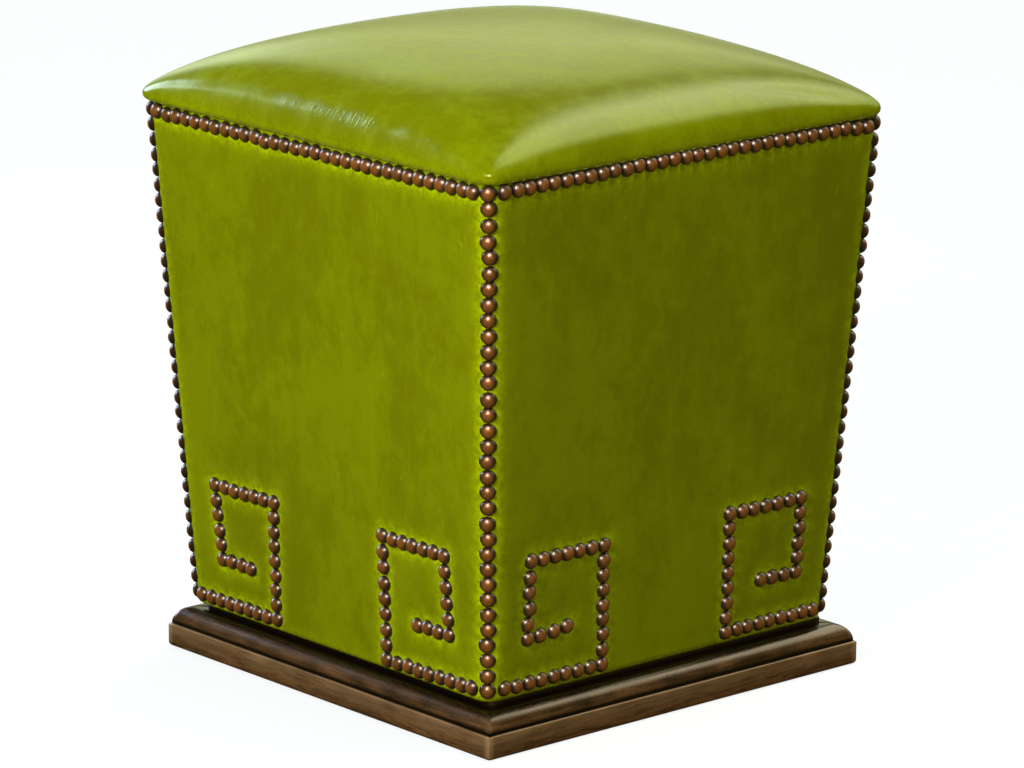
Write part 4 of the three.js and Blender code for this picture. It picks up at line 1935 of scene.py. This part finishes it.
@dataclass(frozen=True)
class Lamp:
    """A soft lamp, placed by its direction from the stool."""

    name: str
    azimuth: float
    elevation: float
    distance: float
    width: float
    height: float
    radiance: float
    tint: Colour = (1.0, 1.0, 1.0)
    mirrored: bool = True
    scattered: bool = True


@dataclass(frozen=True)
class Panel:
    """A pale screen round the stool with soft edges, placed by its direction and its angles in degrees."""

    azimuth: float
    elevation: float
    half_width: float
    half_height: float
    soft: float
    radiance: float
    tint: Colour


@dataclass(frozen=True)
class Studio:
    """A white studio with soft lamps, and the camera at the photograph's place."""

    picture_width: float = 1024.0
    focal_pixels: float = 5704.7
    sensor: float = 36.0
    azimuth: float = math.radians(48.358)
    elevation: float = math.radians(14.485)
    roll: float = math.radians(0.536)
    distance: float = 4.7376
    aside: float = 0.0039
    rise: float = 0.22432
    lamp_aim: float = 0.3
    floor_size: float = 14.0
    fill: float = 0.165
    fill_colour: Colour = (1.0, 0.80, 0.60)
    mirrored_fill: Colour = (0.09, 0.075, 0.02)
    floor_bounce: Colour = (0.40, 0.33, 0.25)
    floor_shadow: Colour = (0.30, 0.325, 0.36)
    floor_mirrored: Colour = (0.05, 0.045, 0.012)
    floor_strip: Colour = (0.90, 1.0, 0.80)
    strip_azimuth: float = -118
    strip_narrowness: float = 1.4
    strip_edge: tuple[float, float] = (0.1, 0.5)
    floor_glow: float = 0.74
    lamps: tuple[Lamp, ...] = (
        Lamp("key", 20, 26, 2.2, 0.70, 0.70, 21.2, (1.0, 0.97, 0.82), mirrored=False),
        Lamp("glint", 41, 32, 2.2, 0.80, 0.80, 21.0, (1.0, 0.92, 0.84), scattered=False),
        Lamp("right_fill", 115, 65, 3.0, 1.5, 1.5, 3.0, (0.80, 1.0, 0.85), mirrored=False),
        Lamp("left_fill", -50, 20, 3.0, 1.5, 1.5, 1.6, (0.70, 1.0, 0.95), mirrored=False),
    )
    panels: tuple[Panel, ...] = (
        Panel(181, 54, 31, 17, 11, 3.3, (1.0, 0.98, 0.80)),
        Panel(182, 27, 28, 14, 9, 1.2, (1.0, 1.0, 0.70)),
        Panel(-136, -3, 20, 13, 6, 0.40, (0.94, 1.0, 0.58)),
        Panel(-130, 20, 13, 11, 4, 0.90, (0.94, 1.0, 0.58)),
        Panel(-112, 12, 12, 12, 5, 0.9, (0.80, 1.0, 0.85)),
        Panel(-82, 20, 12.5, 11, 1.5, 9.0, (0.80, 1.0, 1.4)),
    )

    def direction(self, azimuth: float, elevation: float) -> Vector:
        """The direction from the stool to a place, by its azimuth and elevation in radians."""
        flat = math.cos(elevation)
        return Vector((math.sin(azimuth) * flat, -math.cos(azimuth) * flat, math.sin(elevation)))

    def camera(self) -> None:
        """Makes the camera."""
        data = bpy.data.cameras.new("camera")
        data.sensor_width = self.sensor
        data.lens = self.focal_pixels * self.sensor / self.picture_width
        data.clip_end = 100
        camera = link("camera", data)
        back = self.direction(self.azimuth, self.elevation)
        right = Vector((math.cos(self.azimuth), math.sin(self.azimuth), 0))
        up = back.cross(right)
        cosine, sine = math.cos(self.roll), math.sin(self.roll)
        right, up = cosine * right + sine * up, cosine * up - sine * right
        place = back * self.distance + right * self.aside + up * self.rise
        camera.matrix_world = Matrix.Translation(place) @ Matrix((right, up, back)).transposed().to_4x4()
        bpy.context.scene.camera = camera

    def lamp(self, lamp: Lamp) -> None:
        """Makes one soft lamp that faces the middle of the stool.

        Args:
            lamp: The lamp.
        """
        data = bpy.data.lights.new(lamp.name, "AREA")
        data.shape = "RECTANGLE"
        data.size = lamp.width
        data.size_y = lamp.height
        data.color = lamp.tint
        data.energy = lamp.radiance * math.pi * lamp.width * lamp.height
        made = link(lamp.name, data)
        away = self.direction(math.radians(lamp.azimuth), math.radians(lamp.elevation))
        made.location = Vector((0, 0, self.lamp_aim)) + away * lamp.distance
        made.rotation_euler = away.to_track_quat("Z", "Y").to_euler()
        made.visible_glossy = lamp.mirrored
        made.visible_diffuse = lamp.scattered

    def floor(self) -> None:
        """Makes the white floor, which keeps the stool's shadow and is dull in reflections."""
        form = bmesh.new()
        bmesh.ops.create_grid(form, x_segments=1, y_segments=1, size=self.floor_size / 2)
        floor = link("floor", to_mesh("floor", form))
        material = bpy.data.materials.new("white_floor")
        material.use_nodes = True
        nodes = Nodes(material.node_tree)
        nodes.tree.nodes.clear()

        def paint(colour: Colour) -> Socket:
            """A plain matt surface.

            Args:
                colour: Its colour.

            Returns:
                The surface.
            """
            made = nodes.node("ShaderNodeBsdfDiffuse")
            made.inputs["Color"].default_value = (*colour, 1)
            return made.outputs[0]

        def choose(kind: str, share: Socket | None, first: Socket, second: Socket) -> Socket:
            """Mixes two surfaces, or adds them.

            Args:
                kind: The node's type.
                share: How much of the second, or None to add.
                first: A surface.
                second: A surface.

            Returns:
                The surface of both.
            """
            made = nodes.node(kind)
            inputs = list(made.inputs)
            if share is not None:
                nodes.feed(inputs.pop(0), share)
            nodes.feed(inputs[0], first)
            nodes.feed(inputs[1], second)
            return made.outputs[0]

        path = nodes.node("ShaderNodeLightPath")
        place = nodes.node("ShaderNodeTexCoord").outputs["Object"]
        glow = nodes.node("ShaderNodeEmission")
        glow.inputs["Strength"].default_value = self.floor_glow
        seen = choose("ShaderNodeAddShader", None, paint(self.floor_shadow), glow.outputs[0])
        middle = math.radians(self.strip_azimuth)
        along = nodes.dot(place, self.direction(middle, 0))
        across = nodes.sum("ABSOLUTE", nodes.dot(place, self.direction(middle + QUARTER, 0)))
        inside = nodes.sum("SUBTRACT", along, nodes.sum("MULTIPLY", across, self.strip_narrowness))
        strip = nodes.spread(inside, *self.strip_edge)
        dull = choose("ShaderNodeMixShader", strip, paint(self.floor_mirrored), paint(self.floor_strip))
        plain = paint(self.floor_bounce)
        unseen = choose("ShaderNodeMixShader", path.outputs["Is Glossy Ray"], plain, dull)
        surface = choose("ShaderNodeMixShader", path.outputs["Is Camera Ray"], unseen, seen)
        nodes.feed(nodes.node("ShaderNodeOutputMaterial").inputs["Surface"], surface)
        floor.data.materials.append(material)

    def world(self) -> None:
        """Makes the surroundings: white for the camera, a dim room with pale panels for all else."""
        world = bpy.data.worlds.new("studio")
        bpy.context.scene.world = world
        world.use_nodes = True
        nodes = Nodes(world.node_tree)
        nodes.tree.nodes.clear()
        path = nodes.node("ShaderNodeLightPath")
        towards = nodes.node("ShaderNodeTexCoord").outputs["Generated"]
        rise = nodes.sum("ARCSINE", nodes.dot(towards, Vector((0, 0, 1))))
        fill = tuple(self.fill * share for share in self.fill_colour)
        light = nodes.mix(path.outputs["Is Glossy Ray"], fill, self.mirrored_fill)
        for panel in self.panels:
            middle = math.radians(panel.azimuth)
            across = nodes.dot(towards, self.direction(middle + QUARTER, 0))
            swing = nodes.sum("ARCTAN2", across, nodes.dot(towards, self.direction(middle, 0)))
            strength: Socket | float = panel.radiance
            lift = nodes.sum("SUBTRACT", rise, math.radians(panel.elevation))
            for angle, half in ((swing, panel.half_width), (lift, panel.half_height)):
                near, far = math.radians(half - panel.soft), math.radians(half + panel.soft)
                inside = nodes.spread(nodes.sum("ABSOLUTE", angle), near, far, 1, 0)
                strength = nodes.sum("MULTIPLY", strength, inside)
            light = nodes.mix(strength, light, panel.tint, "ADD")
        light = nodes.mix(path.outputs["Is Camera Ray"], light, (1.0, 1.0, 1.0))
        background = nodes.node("ShaderNodeBackground")
        nodes.feed(background.inputs["Color"], light)
        nodes.feed(nodes.node("ShaderNodeOutputWorld").inputs["Surface"], background.outputs[0])

    def build(self) -> None:
        """Builds the studio."""
        self.camera()
        self.floor()
        self.world()
        for lamp in self.lamps:
            self.lamp(lamp)
        bpy.context.scene.view_settings.view_transform = "Standard"
        log.info("studio: camera and %d lamps", len(self.lamps))


def main() -> None:
    """Builds every piece in order, then the studio."""
    logging.basicConfig(level=logging.INFO, format="%(name)s: %(message)s")
    leather = LeatherFinish().material()
    bronze = BronzeFinish().material()
    steel = SteelFinish().material()
    felt = SoftFinish("felt", (0.62, 0.60, 0.55), (0.45, 0.43, 0.39), 500, 0.3 * MM).material()
    batting = SoftFinish("batting", (0.86, 0.86, 0.84), (0.70, 0.70, 0.68), 160, 0.8 * MM).material()
    foam = SoftFinish("foam", (0.80, 0.68, 0.38), (0.62, 0.50, 0.25), 1400, 0.3 * MM).material()
    walnut = WalnutFinish()
    box = BoxShape.from_frame()
    nailing = Nailing(box)
    Base().build(walnut.material(along_x=True), walnut.material(along_x=False), steel)
    DustCover().build(CambricFinish().material(), steel)
    Timber().dress()
    SideCovers(box, nailing).build(leather, felt)
    Seat.from_frame(box).build(leather, batting, foam)
    nailing.build(bronze)
    Studio().build()


if __name__ == "__main__":
    main()
